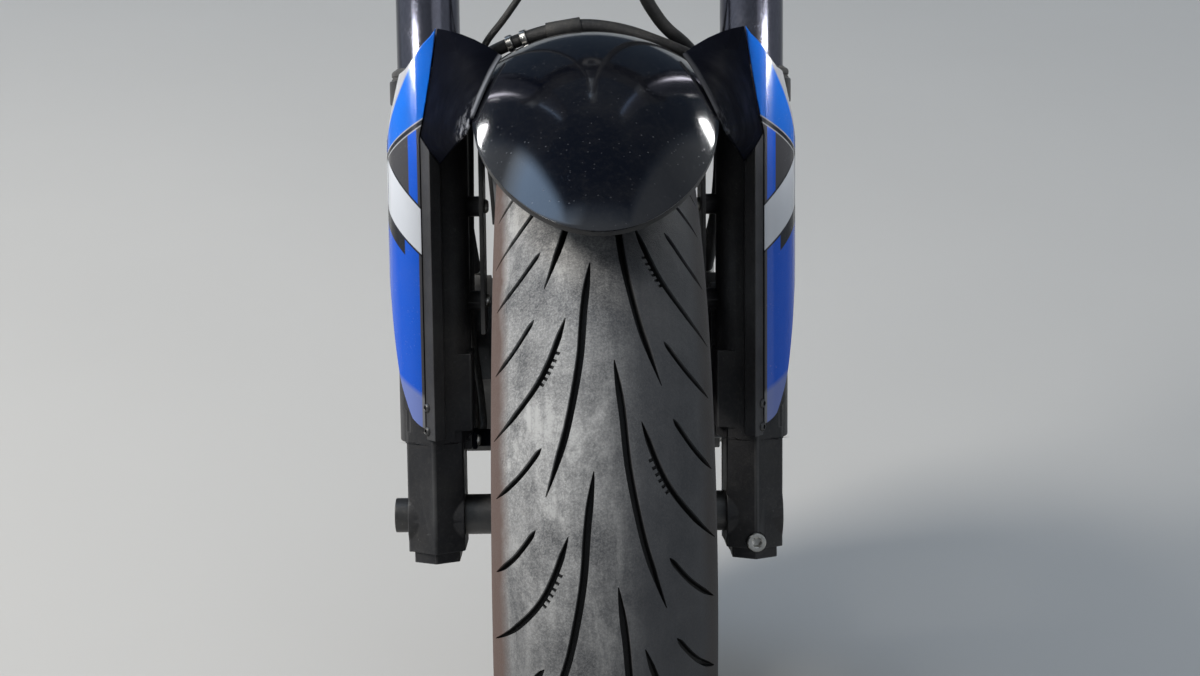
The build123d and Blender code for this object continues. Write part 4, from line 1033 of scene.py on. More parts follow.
def show(
    bm: BMesh, name: str, finish: Finish, body: Body, stands_for: tuple = (), crease: float = 35.0
) -> Object:
    """Turn a finished bmesh into a piece that rides on a body.

    Args:
        bm: The mesh, already in the part's frame; it is freed.
        name: The piece's name.
        finish: Its finish.
        body: The body it rides on.
        stands_for: CAD nodes that it replaces.
        crease: Edges sharper than this many degrees stay crisp.

    Returns:
        The new object.
    """
    mesh = as_mesh(bm, name)
    mesh.shade_smooth()
    mesh.set_sharp_from_angle(angle=math.radians(crease))
    mesh.materials.append(finish.material())
    piece = placed(name, mesh)
    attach(piece, body.value)
    if stands_for:
        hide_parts(*stands_for)
    log.info("%s: %d faces", name, len(mesh.polygons))
    return piece


def merged_copy(node: str) -> BMesh:
    """A CAD node's mesh as one skin.

    Args:
        node: The node's name.

    Returns:
        A bmesh with its doubled points merged and its flat triangles joined.
    """
    bm = bmesh.new()
    bm.from_mesh(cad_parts[node].data)
    bmesh.ops.remove_doubles(bm, verts=bm.verts, dist=2e-6)
    bmesh.ops.dissolve_limit(bm, angle_limit=math.radians(0.6), verts=bm.verts, edges=bm.edges, delimit=set())
    return bm


def softened(node: str, slot: str, width: float, body: Body = Body.FORK) -> None:
    """Show a CAD node's copy with its edges rounded, standing for the node.

    Args:
        node: The node's name.
        slot: Its material slot.
        width: How far the rounding reaches, in millimetres.
        body: The body it rides on.
    """
    bm = merged_copy(node)
    shortest = 1.2 * width * MM
    edges = [
        edge for edge in bm.edges
        if len(edge.link_faces) == 2
        and edge.calc_face_angle(0.0) > ROUNDED_FROM
        and edge.calc_length() > shortest
    ]
    bmesh.ops.bevel(
        bm, geom=edges, offset=width * MM, offset_type="OFFSET", affect="EDGES", segments=2, profile=0.5,
        material=-1, clamp_overlap=False,
    )
    piece = show(bm, node + "_piece", FINISHES[slot], body, (node,), crease=38.0)
    even = piece.modifiers.new("even_shading", "WEIGHTED_NORMAL")
    even.keep_sharp = True


def arc_through(start: tuple, middle: tuple, end: tuple, steps: int) -> list:
    """Points along the circle through three points.

    Args:
        start: The first point.
        middle: A point on the way.
        end: The last point.
        steps: How many steps lie between first and last.

    Returns:
        The points as pairs, both ends included.
    """
    (ax, ay), (bx, by), (cx, cy) = start, middle, end
    twice_area = 2 * (ax * (by - cy) + bx * (cy - ay) + cx * (ay - by))
    a, b, c = (x * x + y * y for x, y in (start, middle, end))
    ux = (a * (by - cy) + b * (cy - ay) + c * (ay - by)) / twice_area
    uy = (a * (cx - bx) + b * (ax - cx) + c * (bx - ax)) / twice_area
    radius = math.hypot(ax - ux, ay - uy)
    first = math.atan2(ay - uy, ax - ux)
    via = (math.atan2(by - uy, bx - ux) - first) % math.tau
    last = (math.atan2(cy - uy, cx - ux) - first) % math.tau
    if via > last:
        last -= math.tau
    turns = [first + last * k / steps for k in range(steps + 1)]
    return [(ux + radius * math.cos(turn), uy + radius * math.sin(turn)) for turn in turns]


def spun(points: list, axis: tuple, steps: int, closed: bool) -> BMesh:
    """A skin turned about an axis.

    Args:
        points: The outline's points, beside the axis.
        axis: The axis through the origin.
        steps: How many steps the turn has.
        closed: Whether the last point joins the first.

    Returns:
        The skin, its faces not yet turned outwards.
    """
    bm = bmesh.new()
    verts = [bm.verts.new(point) for point in points]
    pairs = list(zip(verts, verts[1:]))
    if closed:
        pairs.append((verts[-1], verts[0]))
    edges = [bm.edges.new(pair) for pair in pairs]
    bmesh.ops.spin(
        bm, geom=verts + edges, cent=(0, 0, 0), axis=axis, dvec=(0, 0, 0), angle=math.tau, steps=steps,
        use_merge=True, use_duplicate=False,
    )
    bmesh.ops.remove_doubles(bm, verts=bm.verts, dist=1e-4)
    return bm


def lathe(profile: list, closed: bool = False, steps: int = 36) -> BMesh:
    """A turned part about Z.

    Args:
        profile: Points as (radius, height) in millimetres; a third entry puts a point on a hexagon whose half
            width is its radius.
        closed: Whether the last point joins the first, for a ring.
        steps: How many steps the turn has, a multiple of six.

    Returns:
        The part, in millimetres.
    """
    bm = spun([(point[0], 0.0, point[1]) for point in profile], (0, 0, 1), steps, closed)
    for radius, height in (point[:2] for point in profile if len(point) > 2):
        on_ring = [v for v in bm.verts if abs(v.co.z - height) < 1e-3 and abs(v.co.xy.length - radius) < 1e-3]
        for vert in on_ring:
            past = math.atan2(vert.co.y, vert.co.x) % (math.pi / 3) - math.pi / 6
            vert.co.x, vert.co.y = vert.co.x / math.cos(past), vert.co.y / math.cos(past)
    bmesh.ops.recalc_face_normals(bm, faces=bm.faces)
    return bm


@dataclass(frozen=True)
class Screw:
    """A screw that stands on the face it clamps, its sizes in millimetres."""

    head: Head
    radius: float
    height: float
    key: float
    shank: float = 0.0
    length: float = 0.0

    def build(self) -> BMesh:
        """Turn it about Z, the clamped face at height 0.

        Returns:
            The screw, in millimetres.
        """
        wide, tall, key = self.radius, self.height, self.key
        if self.length:
            shank, end = self.shank, -self.length
            foot = [(0.0, end), (shank - 0.6, end), (shank, end + 0.6), (shank, 0.0)]
        else:
            foot = [(0.0, -0.2), (wide - 0.3, -0.2)]
        if self.head is Head.SOCKET:
            top = [(wide - 0.3, 0.0), (wide, 0.3), (wide, tall - 0.7), (wide - 0.7, tall)]
            top += [(key * 1.17 + 0.35, tall), (key, tall - 0.5, 1)]
            top += [(key, 0.25 * tall, 1), (0.0, 0.15 * tall)]
        elif self.head is Head.BUTTON:
            top = [(wide - 0.2, 0.0), (wide, 0.2 * tall), (0.9 * wide, 0.6 * tall), (0.72 * wide, 0.9 * tall)]
            top += [(key * 1.17 + 0.2, tall), (key, tall - 0.3, 1), (key, 0.4 * tall, 1), (0.0, 0.3 * tall)]
        else:
            top = [(wide - 0.3, 0.0), (wide, 0.3), (wide - 0.1, 0.16 * tall), (key * 1.16, 0.28 * tall)]
            top += [(key, 0.3 * tall, 1), (key, 0.88 * tall, 1), (key * 0.96, tall), (key * 0.62, tall)]
            top += [(key * 0.56, 0.9 * tall), (0.0, 0.9 * tall)]
        return lathe(foot + top)


class Tray:
    """Small parts of one finish, gathered into one piece."""

    def __init__(self) -> None:
        """Start with nothing in it."""
        self.bm = bmesh.new()

    def add(self, part: BMesh, place: tuple, toward: tuple) -> None:
        """Put in a part.

        Args:
            part: The part about Z, in millimetres; it is freed.
            place: Where its origin goes, in the fork's frame.
            toward: Where its Z points, in the fork's frame.
        """
        aim = Matrix.Translation(place) @ Vector(toward).to_track_quat("Z", "Y").to_matrix().to_4x4()
        bmesh.ops.transform(part, matrix=FORK_FRAME @ aim, verts=part.verts)
        mesh = as_mesh(part, "small_part")
        self.bm.from_mesh(mesh)
        bpy.data.meshes.remove(mesh)

    def show(
        self, name: str, slot: str, body: Body = Body.FORK, stands_for: tuple = (), wears: str = ""
    ) -> None:
        """Show what is in it as one piece.

        Args:
            name: The piece's name.
            body: The body it rides on.
            stands_for: CAD nodes that it replaces.
            wears: The slot whose finish it has, where that isn't its own slot.
        """
        show(self.bm, name, FINISHES[wears or slot], body, stands_for, crease=28.0)


def round_axle(angle: float, radius: float, x: float) -> tuple:
    """A place on the wheel or caliper.

    Args:
        angle: Degrees backwards from straight up the fork.
        radius: Millimetres from the axle.
        x: Millimetres from the middle.

    Returns:
        The place in the fork's frame, in millimetres.
    """
    turn = math.radians(angle)
    return (x, radius * math.sin(turn), radius * math.cos(turn))


def cut(target: BMesh, tool: BMesh) -> BMesh:
    """Take one closed mesh away from another.

    Args:
        target: What is cut; it is freed.
        tool: What cuts; it is freed.

    Returns:
        What is left.
    """
    body, cutter = (placed(word, as_mesh(bm, word)) for word, bm in (("target", target), ("tool", tool)))
    modifier = body.modifiers.new("cut", "BOOLEAN")
    modifier.operation = "DIFFERENCE"
    modifier.solver = "MANIFOLD"
    modifier.object = cutter
    bpy.context.view_layer.update()
    depsgraph = bpy.context.evaluated_depsgraph_get()
    result = bmesh.new()
    result.from_mesh(bpy.data.meshes.new_from_object(body.evaluated_get(depsgraph)))
    for thing in (body, cutter):
        bpy.data.objects.remove(thing)
    return result


@dataclass(frozen=True)
class Groove:
    """One tread groove of the right half, by its middle line; its ends taper and rise."""

    line: tuple
    width: float
    depth: float
    blunt: float = 0.15
    start_taper: float = 0.16
    end_taper: float = 0.30
    above: float = 1.6
    top_share: float = 1.15
    foot_share: float = 0.55


@dataclass
class Tyre:
    """The tyre: round crown, sidewalls and a swept tread cut into the crown."""

    half_width: float = 60.0
    radius: float = 300.0
    shoulder: float = 262.0
    lip: float = 232.8
    lip_across: float = 50.0
    rib: tuple = ((60.45, 256.0), (60.0, 254.2))
    seat: float = 44.2
    bead: float = 218.3
    toe: float = 33.0
    wall: float = 9.0
    haunch: tuple = (34.2, 278.0)
    pitches: int = 16
    steps: int = 240
    # Grooves as (degrees ahead of the pitch's start, millimetres from the middle): the long sweep, the branch
    # with the teeth, the upper and the lower slant
    grooves: tuple = (
        Groove(((3.8, 5.8), (9.0, 9.4), (15.0, 12.3), (21.5, 18.8), (25.5, 25.0), (28.7, 30.6)), 4.4, 4.6),
        Groove(((10.1, 19.3), (14.2, 27.0), (17.1, 35.0), (19.9, 47.0), (22.0, 58.2)), 3.9, 4.2),
        Groove(((1.2, 32.5), (3.9, 44.0), (6.1, 57.0)), 3.5, 3.8),
        Groove(((9.5, 36.0), (12.4, 47.0), (14.3, 57.3)), 3.5, 3.8),
    )
    # Teeth by their place along the branch, in hundredths of its length
    tooth_places: tuple = (22, 27, 32, 37, 42, 47)
    tooth_size: tuple = (1.75, 3.2, 3.6)
    tooth_beside: float = 2.5
    tooth_sunk: float = 0.6

    def outline(self) -> list:
        """The section's outline.

        Returns:
            A closed loop of (across, radius) points, in millimetres.
        """
        edge, haunch = (self.half_width, self.shoulder), self.haunch
        crown = arc_through((-edge[0], edge[1]), (0.0, self.radius), edge, steps=44)
        cheek = (self.half_width - 2.2, self.lip + 11.5)
        flank = arc_through(edge, cheek, (self.lip_across, self.lip), steps=9)
        flank = [*flank[1:3], *self.rib, *flank[4:]]
        bead = [(self.seat, self.lip - 1.4), (self.seat, self.bead), (self.toe, self.bead)]
        hollow = (self.half_width - self.wall + 3, self.shoulder - 4)
        inside = arc_through((self.seat - 4, self.lip + 1.5), hollow, haunch, steps=6)
        roof = arc_through(haunch, (0.0, self.radius - self.wall), (-haunch[0], haunch[1]), steps=8)
        loop = crown + flank + bead + inside + roof[1:-1]
        for part in (inside, bead, flank):
            loop += [(-x, r) for x, r in reversed(part)]
        return loop

    def on_crown(self, angle: float, across: float, lift: float) -> Vector:
        """A point over or under the crown.

        Args:
            angle: Degrees ahead of straight up.
            across: Millimetres from the middle.
            lift: Millimetres outwards along the surface's normal.

        Returns:
            The point, in millimetres about the axle.
        """
        over = math.sqrt(CROWN_RADIUS**2 - across**2)
        reach = 1.0 + lift / CROWN_RADIUS
        turn = math.radians(angle)
        radius = CROWN_CENTRE + over * reach
        return Vector((across * reach, -radius * math.sin(turn), radius * math.cos(turn)))

    def track(self, line: tuple, samples: int) -> list:
        """A smooth line through a groove's points.

        Args:
            line: The groove's points.
            samples: How many stations it gets.

        Returns:
            Stations as (angle, across) pairs.
        """
        points = [line[0], *line, line[-1]]
        spans = len(line) - 1
        made = []
        for k in range(samples):
            t = k / (samples - 1) * spans
            i = min(int(t), spans - 1)
            f = t - i
            made.append(tuple(
                b + 0.5 * f * (c - a + f * (2 * a - 5 * b + 4 * c - d + f * (3 * b - a - 3 * c + d)))
                for a, b, c, d in zip(*points[i : i + 4])
            ))
        return made

    def axes(self, here: tuple, before: tuple, after: tuple, turn: float, side: int) -> tuple:
        """Where a groove's station is and which ways it faces.

        Args:
            here: The station.
            before: A station before it, or itself.
            after: A station after it, or itself.
            turn: The pitch's place, in degrees.
            side: -1 or 1, the half of the crown.

        Returns:
            Its place, then the directions along, beside and outward.
        """
        middle, lifted, first, last = (
            self.on_crown(angle + turn, side * across, lift)
            for (angle, across), lift in ((here, 0.0), (here, 1.0), (before, 0.0), (after, 0.0))
        )
        outward = (lifted - middle).normalized()
        along = (last - first).normalized()
        return middle, along, along.cross(outward).normalized(), outward

    def carve(self, bm: BMesh, groove: Groove, turn: float, side: int) -> None:
        """Add one groove's cutter, extruded along its line.

        Args:
            bm: The cutters' mesh.
            groove: The groove.
            turn: The pitch's place, in degrees.
            side: -1 or 1, the half of the crown.
        """
        stations = self.track(groove.line, 9 + 3 * len(groove.line))
        last = len(stations) - 1
        ring = None
        for k, here in enumerate(stations):
            t = k / last
            start, end = groove.blunt + t / groove.start_taper, groove.blunt + (1 - t) / groove.end_taper
            fill = min(1.0, start) * min(1.0, end)
            half = groove.width / 2 * fill
            deep = groove.depth * min(1.0, 0.3 + fill)
            before, after = stations[max(0, k - 1)], stations[min(last, k + 1)]
            middle, _, beside, outward = self.axes(here, before, after, turn, side)
            top, foot = middle + outward * groove.above, middle - outward * deep
            wide, narrow = beside * half * groove.top_share, beside * half * groove.foot_share
            corners = [top + wide, top - wide, foot - narrow, foot + narrow]
            if ring is None:
                ring = bm.faces.new([bm.verts.new(corner) for corner in corners])
                continue
            made = bmesh.ops.extrude_face_region(bm, geom=[ring])["geom"]
            cap = next(g for g in made if isinstance(g, bmesh.types.BMFace))
            if k > 1:
                bmesh.ops.delete(bm, geom=[ring], context="FACES_ONLY")
            for vert, corner in zip(cap.verts, corners):
                vert.co = corner
            ring = cap

    def teeth(self, bm: BMesh, turn: float, side: int) -> None:
        """Add the small side cuts beside the branch groove.

        Args:
            bm: The cutters' mesh.
            turn: The pitch's place, in degrees.
            side: -1 or 1, the half of the crown.
        """
        stations = self.track(self.grooves[1].line, 101)
        size = Matrix.Diagonal((*self.tooth_size, 1.0))
        for k in self.tooth_places:
            middle, along, beside, outward = self.axes(stations[k], stations[k], stations[k + 3], turn, side)
            beside *= side
            centre = middle + beside * self.tooth_beside - outward * self.tooth_sunk
            axes = Matrix((along, beside, outward)).transposed().to_4x4()
            bmesh.ops.create_cube(bm, size=1.0, matrix=Matrix.Translation(centre) @ axes @ size)

    def build(self) -> None:
        """Spin the section, cut the tread and show the piece."""
        ring = spun([(x, 0.0, r) for x, r in self.outline()], (1, 0, 0), self.steps, True)
        step = 360.0 / self.pitches
        cutters, notches = bmesh.new(), bmesh.new()
        for count in range(self.pitches):
            for side in (-1, 1):
                turn = count * step + (0.0 if side < 0 else step / 2)
                for groove in self.grooves:
                    self.carve(cutters, groove, turn, side)
                self.teeth(notches, turn, side)
        for bm in (ring, cutters, notches):
            bmesh.ops.recalc_face_normals(bm, faces=bm.faces)
        ring = cut(cut(ring, cutters), notches)
        bmesh.ops.transform(ring, matrix=WHEEL_FRAME, verts=ring.verts)
        show(ring, "tyre_tread", FINISHES["tyre"], Body.WHEEL, ("tyre",), crease=34.0)


@dataclass
class Mudguard:
    """The polished blade over the tyre, with its rounded edge, and the body that carries it."""

    half_width: float = 73.4
    reach: float = 149.4
    crest: float = 331.4
    crown_radius: float = 113.0
    rear_angle: float = 66.0
    thickness: float = 1.6
    edge: float = 0.7
    steps: tuple = (56, 110)

    def surface(self, across: float, along: float) -> Vector:
        """A point of the blade's skin.

        Args:
            across: -1 to 1 over the width.
            along: -1 at the rear edge, 0 above the axle, 1 at the tip.

        Returns:
            The point, in millimetres about the axle.
        """
        if along > 0:
            x = self.half_width * across * math.sqrt(1 - along * along / 2)
            ahead = self.reach * along * math.sqrt(1 - across * across / 2)
        else:
            x = self.half_width * across
        radius = self.crest - self.crown_radius + math.sqrt(self.crown_radius**2 - x * x)
        turn = math.asin(ahead / radius) if along > 0 else math.radians(self.rear_angle) * along
        return Vector((x, -radius * math.sin(turn), radius * math.cos(turn)))

    def build(self) -> None:
        """Shape the skin from a grid, give it its wall and rolled edge, and soften the body under it."""
        bm = bmesh.new()
        bmesh.ops.create_grid(bm, x_segments=self.steps[0], y_segments=self.steps[1], size=1.0)
        for vert in bm.verts:
            vert.co = self.surface(vert.co.x, vert.co.y)
        bmesh.ops.recalc_face_normals(bm, faces=bm.faces)
        top = max(bm.faces, key=lambda f: f.calc_center_median().z)
        if top.normal.z < 0:
            bmesh.ops.reverse_faces(bm, faces=bm.faces)
        bmesh.ops.transform(bm, matrix=WHEEL_FRAME, verts=bm.verts)
        skin = show(bm, "blade_skin", GlossBlack("blade_gloss"), Body.FORK, crease=50.0)
        wall = skin.modifiers.new("wall", "SOLIDIFY")
        wall.thickness = self.thickness * MM
        wall.offset = -1.0
        wall.use_even_offset = True
        edge = skin.modifiers.new("rolled_edge", "BEVEL")
        edge.width = self.edge * MM
        edge.segments = 3
        edge.limit_method = "ANGLE"
        edge.angle_limit = math.radians(50)
        softened("mudguard_blade", "gloss_black", 0.6)


@dataclass
class Legs:
    """Fork tubes, lower legs, seals, guards, trims, covers and axle."""

    tube_radius: float = 21.5
    tube_top: float = 715.0
    cap_foot: float = 703.0
    cap_flange: float = 6.0
    cap_hex: float = 7.0
    cap_half_flats: float = 12.0
    seal_foot: float = 300.0
    seal_radius: float = 25.3
    trim_screw: Screw = Screw(Head.BUTTON, radius=3.1, height=1.8, key=1.4)
    trim_screw_places: tuple = ((113.5, -30.9, 80.0), (113.5, -30.9, 64.0))
    trim_screw_aim: tuple = (0.809, -0.587, 0.0)
    pinch: Screw = Screw(Head.SOCKET, radius=6.5, height=8.0, key=3.0, shank=4.0, length=34.0)
    pinch_place: tuple = (110.0, -21.0, -17.0)
    stay_screw: Screw = Screw(Head.BUTTON, radius=5.0, height=2.8, key=2.0)
    stay_places: tuple = ((74.0, 0.0, 150.0), (74.0, 0.0, 215.0))

    def cap(self, side: Side) -> None:
        """The fork cap: plug, flange, chamfered hexagon and the adjuster in its recess.

        Args:
            side: Its leg.
        """
        foot, top = self.cap_foot, self.tube_top
        flange = top + self.cap_flange
        crest = flange + self.cap_hex
        plug, rim, half = self.tube_radius - 2.65, self.tube_radius - 0.4, self.cap_half_flats
        profile = [(0.0, foot), (plug - 0.6, foot), (plug, foot + 0.6), (plug, top), (rim - 0.5, top)]
        profile += [(rim, top + 0.5), (rim, flange - 0.8), (rim - 0.8, flange)]
        profile += [(half * 1.17, flange), (half, flange + 0.2, 1)]
        profile += [(half, crest - 0.9, 1), (half * 0.97, crest)]
        adjuster = ((9.2, 0.0), (8.8, 0.5), (8.8, 3.6), (6.6, 3.8), (6.4, 0.7), (6.0, 0.3), (2.3, 0.3))
        profile += [(radius, crest - drop) for radius, drop in adjuster]
        profile += [(2.0, crest - 0.7, 1), (2.0, crest - 2.5, 1), (0.0, crest - 2.8)]
        tray = Tray()
        tray.add(lathe(profile, steps=48), side.at(LEG_X, 0.0, 0.0), UPWARD)
        tray.show("fork_cap_piece_" + side.word, "black_alloy", stands_for=("fork_cap_" + side.word,))

    def seal(self, side: Side) -> None:
        """The dust seal: shouldered ring with a thin wiping lip.

        Args:
            side: Its leg.
        """
        wide, lip = self.seal_radius, self.tube_radius + 0.1
        ring = [(lip + 0.3, 0.0), (wide, 0.0), (wide, 1.2), (wide - 0.6, 1.5), (wide - 0.6, 2.5), (wide, 2.8)]
        ring += [(wide, 5.0), (wide - 0.5, 6.1), (wide - 1.6, 6.9)]
        ring += [(lip + 1.3, 7.3), (lip + 0.6, 8.0), (lip, 7.8), (lip + 0.3, 6.0)]
        profile = [(radius, self.seal_foot + height) for radius, height in ring]
        tray = Tray()
        tray.add(lathe(profile, closed=True, steps=60), side.at(LEG_X, 0.0, 0.0), UPWARD)
        tray.show("dust_seal_piece_" + side.word, "rubber", stands_for=("dust_seal_" + side.word,))

    def screws(self) -> None:
        """The screws of the trims and stays, and the pinch bolt of the right lug."""
        trims, stays = Tray(), Tray()
        for side in Side:
            for place in self.trim_screw_places:
                trims.add(self.trim_screw.build(), side.at(*place), side.at(*self.trim_screw_aim))
            for place in self.stay_places:
                stays.add(self.stay_screw.build(), side.at(*place), side.at(-1, 0, 0))
        trims.show("trim_screws", "grey_trim", wears="black_steel")
        stays.show("stay_screws", "zinc_steel")
        pinch = Tray()
        pinch.add(self.pinch.build(), self.pinch_place, (0, -1, 0))
        pinch.show("axle_pinch_bolt_piece", "zinc_steel", stands_for=("axle_pinch_bolt",))

    def build(self) -> None:
        """Round the edges of the castings and mouldings, then fit caps, seals and screws."""
        for side in Side:
            softened("lower_leg_" + side.word, "satin_black_casting", 0.9)
            softened("leg_guard_" + side.word, "blue_panel", 0.5)
            softened("guard_trim_" + side.word, "grey_trim", 0.7)
            softened("fork_cover_" + side.word, "black_plastic", 0.6)
            self.cap(side)
            self.seal(side)
        softened("axle", "black_steel", 0.5)
        self.screws()


@dataclass
class Brakes:
    """Calipers, pads, discs, carriers and what screws into them."""

    face_x: float = 97.0
    middle: float = 47.0
    piston_radius: float = 129.0
    piston_offset: float = 23.0
    plug_x: float = 102.0
    joint: Screw = Screw(Head.SOCKET, radius=6.0, height=5.0, key=2.8)
    joint_places: tuple = ((26.0, 164.0), (68.0, 164.0), (25.0, 106.0), (69.0, 106.0))
    mount: Screw = Screw(Head.FLANGED, radius=8.0, height=7.0, key=5.4, shank=5.0, length=25.3)
    mount_x: float = 110.3
    mount_y: float = 46.0
    mount_heights: tuple = (56.0, 146.0)
    pin_radius: float = 163.0
    window: tuple = (50.4, 73.6)
    nipple_angle: float = 62.0
    nipple_foot: float = 175.9
    fitting_x: float = 85.0
    banjo_angle: float = 30.0
    banjo_foot: float = 176.3
    banjo_height: float = 9.6
    bobbins: int = 10
    bobbin_circle: float = 117.0
    bobbin_x: float = 65.35
    carrier_screw: Screw = Screw(Head.BUTTON, radius=5.7, height=4.7, key=2.5)
    carrier_circle: float = 37.0
    carrier_x: float = 64.75
    arms: int = 5

    def caliper(self, side: Side) -> None:
        """Piston plugs, joint and mounting screws, pad pin and bleed nipple of one caliper.

        Args:
            side: The caliper's side.
        """
        s, out = side.value, side.at(1, 0, 0)
        plugs = Tray()
        lean = math.degrees(math.atan2(self.piston_offset, self.piston_radius))
        reach = math.hypot(self.piston_radius, self.piston_offset)
        plug = [(0.0, -0.2), (14.5, -0.2), (14.5, 0.5), (14.0, 1.0), (11.0, 1.0), (10.5, 0.4), (5.6, 0.4)]
        plug += [(5.2, 1.0), (4.4, 1.0), (3.6, 0.6, 1), (3.6, 0.1, 1), (0.0, 0.1)]
        for turn in (-lean, lean):
            plugs.add(lathe(plug), round_axle(self.middle + turn, reach, s * self.plug_x), out)
        plugs.show("piston_plugs_" + side.word, "caliper_paint", wears="black_alloy")
        screws = Tray()
        for angle, radius in self.joint_places:
            screws.add(self.joint.build(), round_axle(angle, radius, s * self.face_x), out)
        start, end = self.window
        pin = lathe([(0.0, 0.0), (3.0, 0.0), (3.0, end - start), (0.0, end - start)], steps=24)
        screws.add(pin, round_axle(self.middle, self.pin_radius, s * start), out)
        nipple = [(0.0, -0.2), (4.4, -0.2), (4.4, 0.2), (3.5, 0.4, 1), (3.5, 3.6, 1), (3.2, 4.0), (2.2, 4.2)]
        nipple += [(2.2, 5.0), (0.0, 5.0)]
        place = round_axle(self.nipple_angle, self.nipple_foot, s * self.fitting_x)
        upward = round_axle(self.nipple_angle, 1.0, 0.0)
        screws.add(lathe(nipple), place, upward)
        screws.show("caliper_screws_" + side.word, "zinc_steel")
        cap = [(0.0, 4.4), (3.5, 4.4), (3.7, 4.8), (3.7, 6.2), (3.2, 6.7), (3.2, 10.0), (2.6, 11.2)]
        cap.append((0.0, 11.5))
        caps = Tray()
        caps.add(lathe(cap), place, upward)
        caps.show("bleed_cap_" + side.word, "rubber")
        mounts = Tray()
        for height in self.mount_heights:
            mounts.add(self.mount.build(), side.at(self.mount_x, self.mount_y, height), out)
        node = "caliper_bolts_" + side.word
        mounts.show("caliper_bolts_piece_" + side.word, "zinc_steel", stands_for=(node,))

    def banjos(self) -> None:
        """The hose eyes between their sealing washers, under hexagon bolts; two are stacked on the right."""
        tray = Tray()
        for side, count in ((Side.LEFT, 1), (Side.RIGHT, 2)):
            tall = self.banjo_height
            profile = [(0.0, -0.3), (7.4, -0.3)]
            eye = [(7.4, 1.2), (8.0, 1.3), (8.0, 2.0), (8.0, tall - 2.0), (7.6, tall - 1.5)]
            eye += [(7.2, tall - 1.4), (7.2, tall)]
            for k in range(count):
                if k:
                    profile.append((7.4, k * tall))
                profile += [(radius, k * tall + height) for radius, height in eye]
            top = count * tall
            profile += [(6.9, top + 0.1), (6.9, top + 0.7), (6.0, top + 0.8, 1), (6.0, top + 4.4, 1)]
            profile += [(5.7, top + 5.0), (3.6, top + 5.0), (3.2, top + 4.6), (0.0, top + 4.6)]
            place = round_axle(self.banjo_angle, self.banjo_foot, side.value * self.fitting_x)
            tray.add(lathe(profile), place, round_axle(self.banjo_angle, 1.0, 0.0))
        tray.show("hose_banjos_piece", "zinc_steel", stands_for=("hose_banjos",))

    def disc(self, side: Side) -> None:
        """The bobbins' rims and the carrier's screws of one disc.

        Args:
            side: The disc's side.
        """
        s, out = side.value, side.at(1, 0, 0)
        buttons, screws = Tray(), Tray()
        rim = [(0.0, -0.1), (6.6, -0.1), (6.6, 0.5), (6.2, 0.9), (3.4, 0.9), (3.0, 0.4), (2.2, 0.2)]
        rim.append((0.0, 0.2))
        for count in range(self.bobbins):
            angle = -(count + 0.5) * 360.0 / self.bobbins
            buttons.add(lathe(rim, steps=30), round_axle(angle, self.bobbin_circle, s * self.bobbin_x), out)
        for count in range(self.arms):
            angle = -(count + 0.5) * 360.0 / self.arms
            place = round_axle(angle, self.carrier_circle, s * self.carrier_x)
            screws.add(self.carrier_screw.build(), place, out)
        buttons.show("bobbin_rims_" + side.word, "disc_steel", Body.WHEEL, wears="bearing_steel")
        screws.show("carrier_screws_" + side.word, "carrier_alloy", Body.WHEEL, wears="black_steel")

    def build(self) -> None:
        """Round the castings' edges, then fit the small parts of both sides."""
        for side in Side:
            softened("caliper_" + side.word, "caliper_paint", 0.8)
            softened("disc_carrier_" + side.word, "carrier_alloy", 0.4, Body.WHEEL)
            self.caliper(side)
            self.disc(side)
        self.banjos()


@dataclass
class Wheel:
    """The cast wheel with its bearings and valve."""

    valve_angle: float = -205.0
    valve_foot: float = 196.7
    valve_tip: float = 163.0
    hub_face: float = 52.0
    bearing_width: float = 13.0
    bearing_radius: float = 21.0
    bearing_bore: float = 10.05

    def valve(self) -> None:
        """The snap-in valve: swollen rubber foot, stem and ribbed cap."""
        low, foot = self.valve_tip, self.valve_foot
        profile = [(0.0, low), (3.6, low), (4.4, low + 0.5), (4.4, low + 2.0)]
        for k in range(4):
            profile += [(5.1, low + 2.6 + 1.4 * k), (4.7, low + 3.3 + 1.4 * k)]
        profile += [(4.4, low + 8.8), (2.8, low + 9.0), (2.8, low + 12.0), (3.8, low + 12.8)]
        profile += [(4.0, foot - 8.0), (4.6, foot - 3.0), (5.6, foot - 1.0), (5.6, foot), (0.0, foot)]
        tray = Tray()
        tray.add(lathe(profile), ORIGIN, round_axle(self.valve_angle, 1.0, 0.0))
        tray.show("valve_stem_piece", "rubber", Body.WHEEL, ("valve_stem",))

    def bearings(self) -> None:
        """The two sealed bearings: races round and sunken seals at both faces."""
        wide, bore, tall = self.bearing_radius, self.bearing_bore, self.bearing_width
        face = [(bore + 0.5, 0.0), (bore + 3.2, 0.0), (bore + 3.4, 0.5)]
        face += [(wide - 2.6, 0.5), (wide - 2.4, 0.0), (wide - 0.5, 0.0)]
        profile = [(bore, 0.5), *face, (wide, 0.5), (wide, tall - 0.5)]
        profile += [(r, tall - h) for r, h in reversed(face)] + [(bore, tall - 0.5)]
        tray = Tray()
        for side in Side:
            place = side.at(self.hub_face - tall, 0.0, 0.0)
            tray.add(lathe(profile, closed=True, steps=48), place, side.at(1, 0, 0))
        tray.show("wheel_bearings_piece", "bearing_steel", Body.WHEEL, ("wheel_bearings",))

    def build(self) -> None:
        """Round the casting's edges, then fit valve and bearings."""
        softened("wheel_rim", "rim_paint", 1.2, Body.WHEEL)
        self.valve()
        self.bearings()


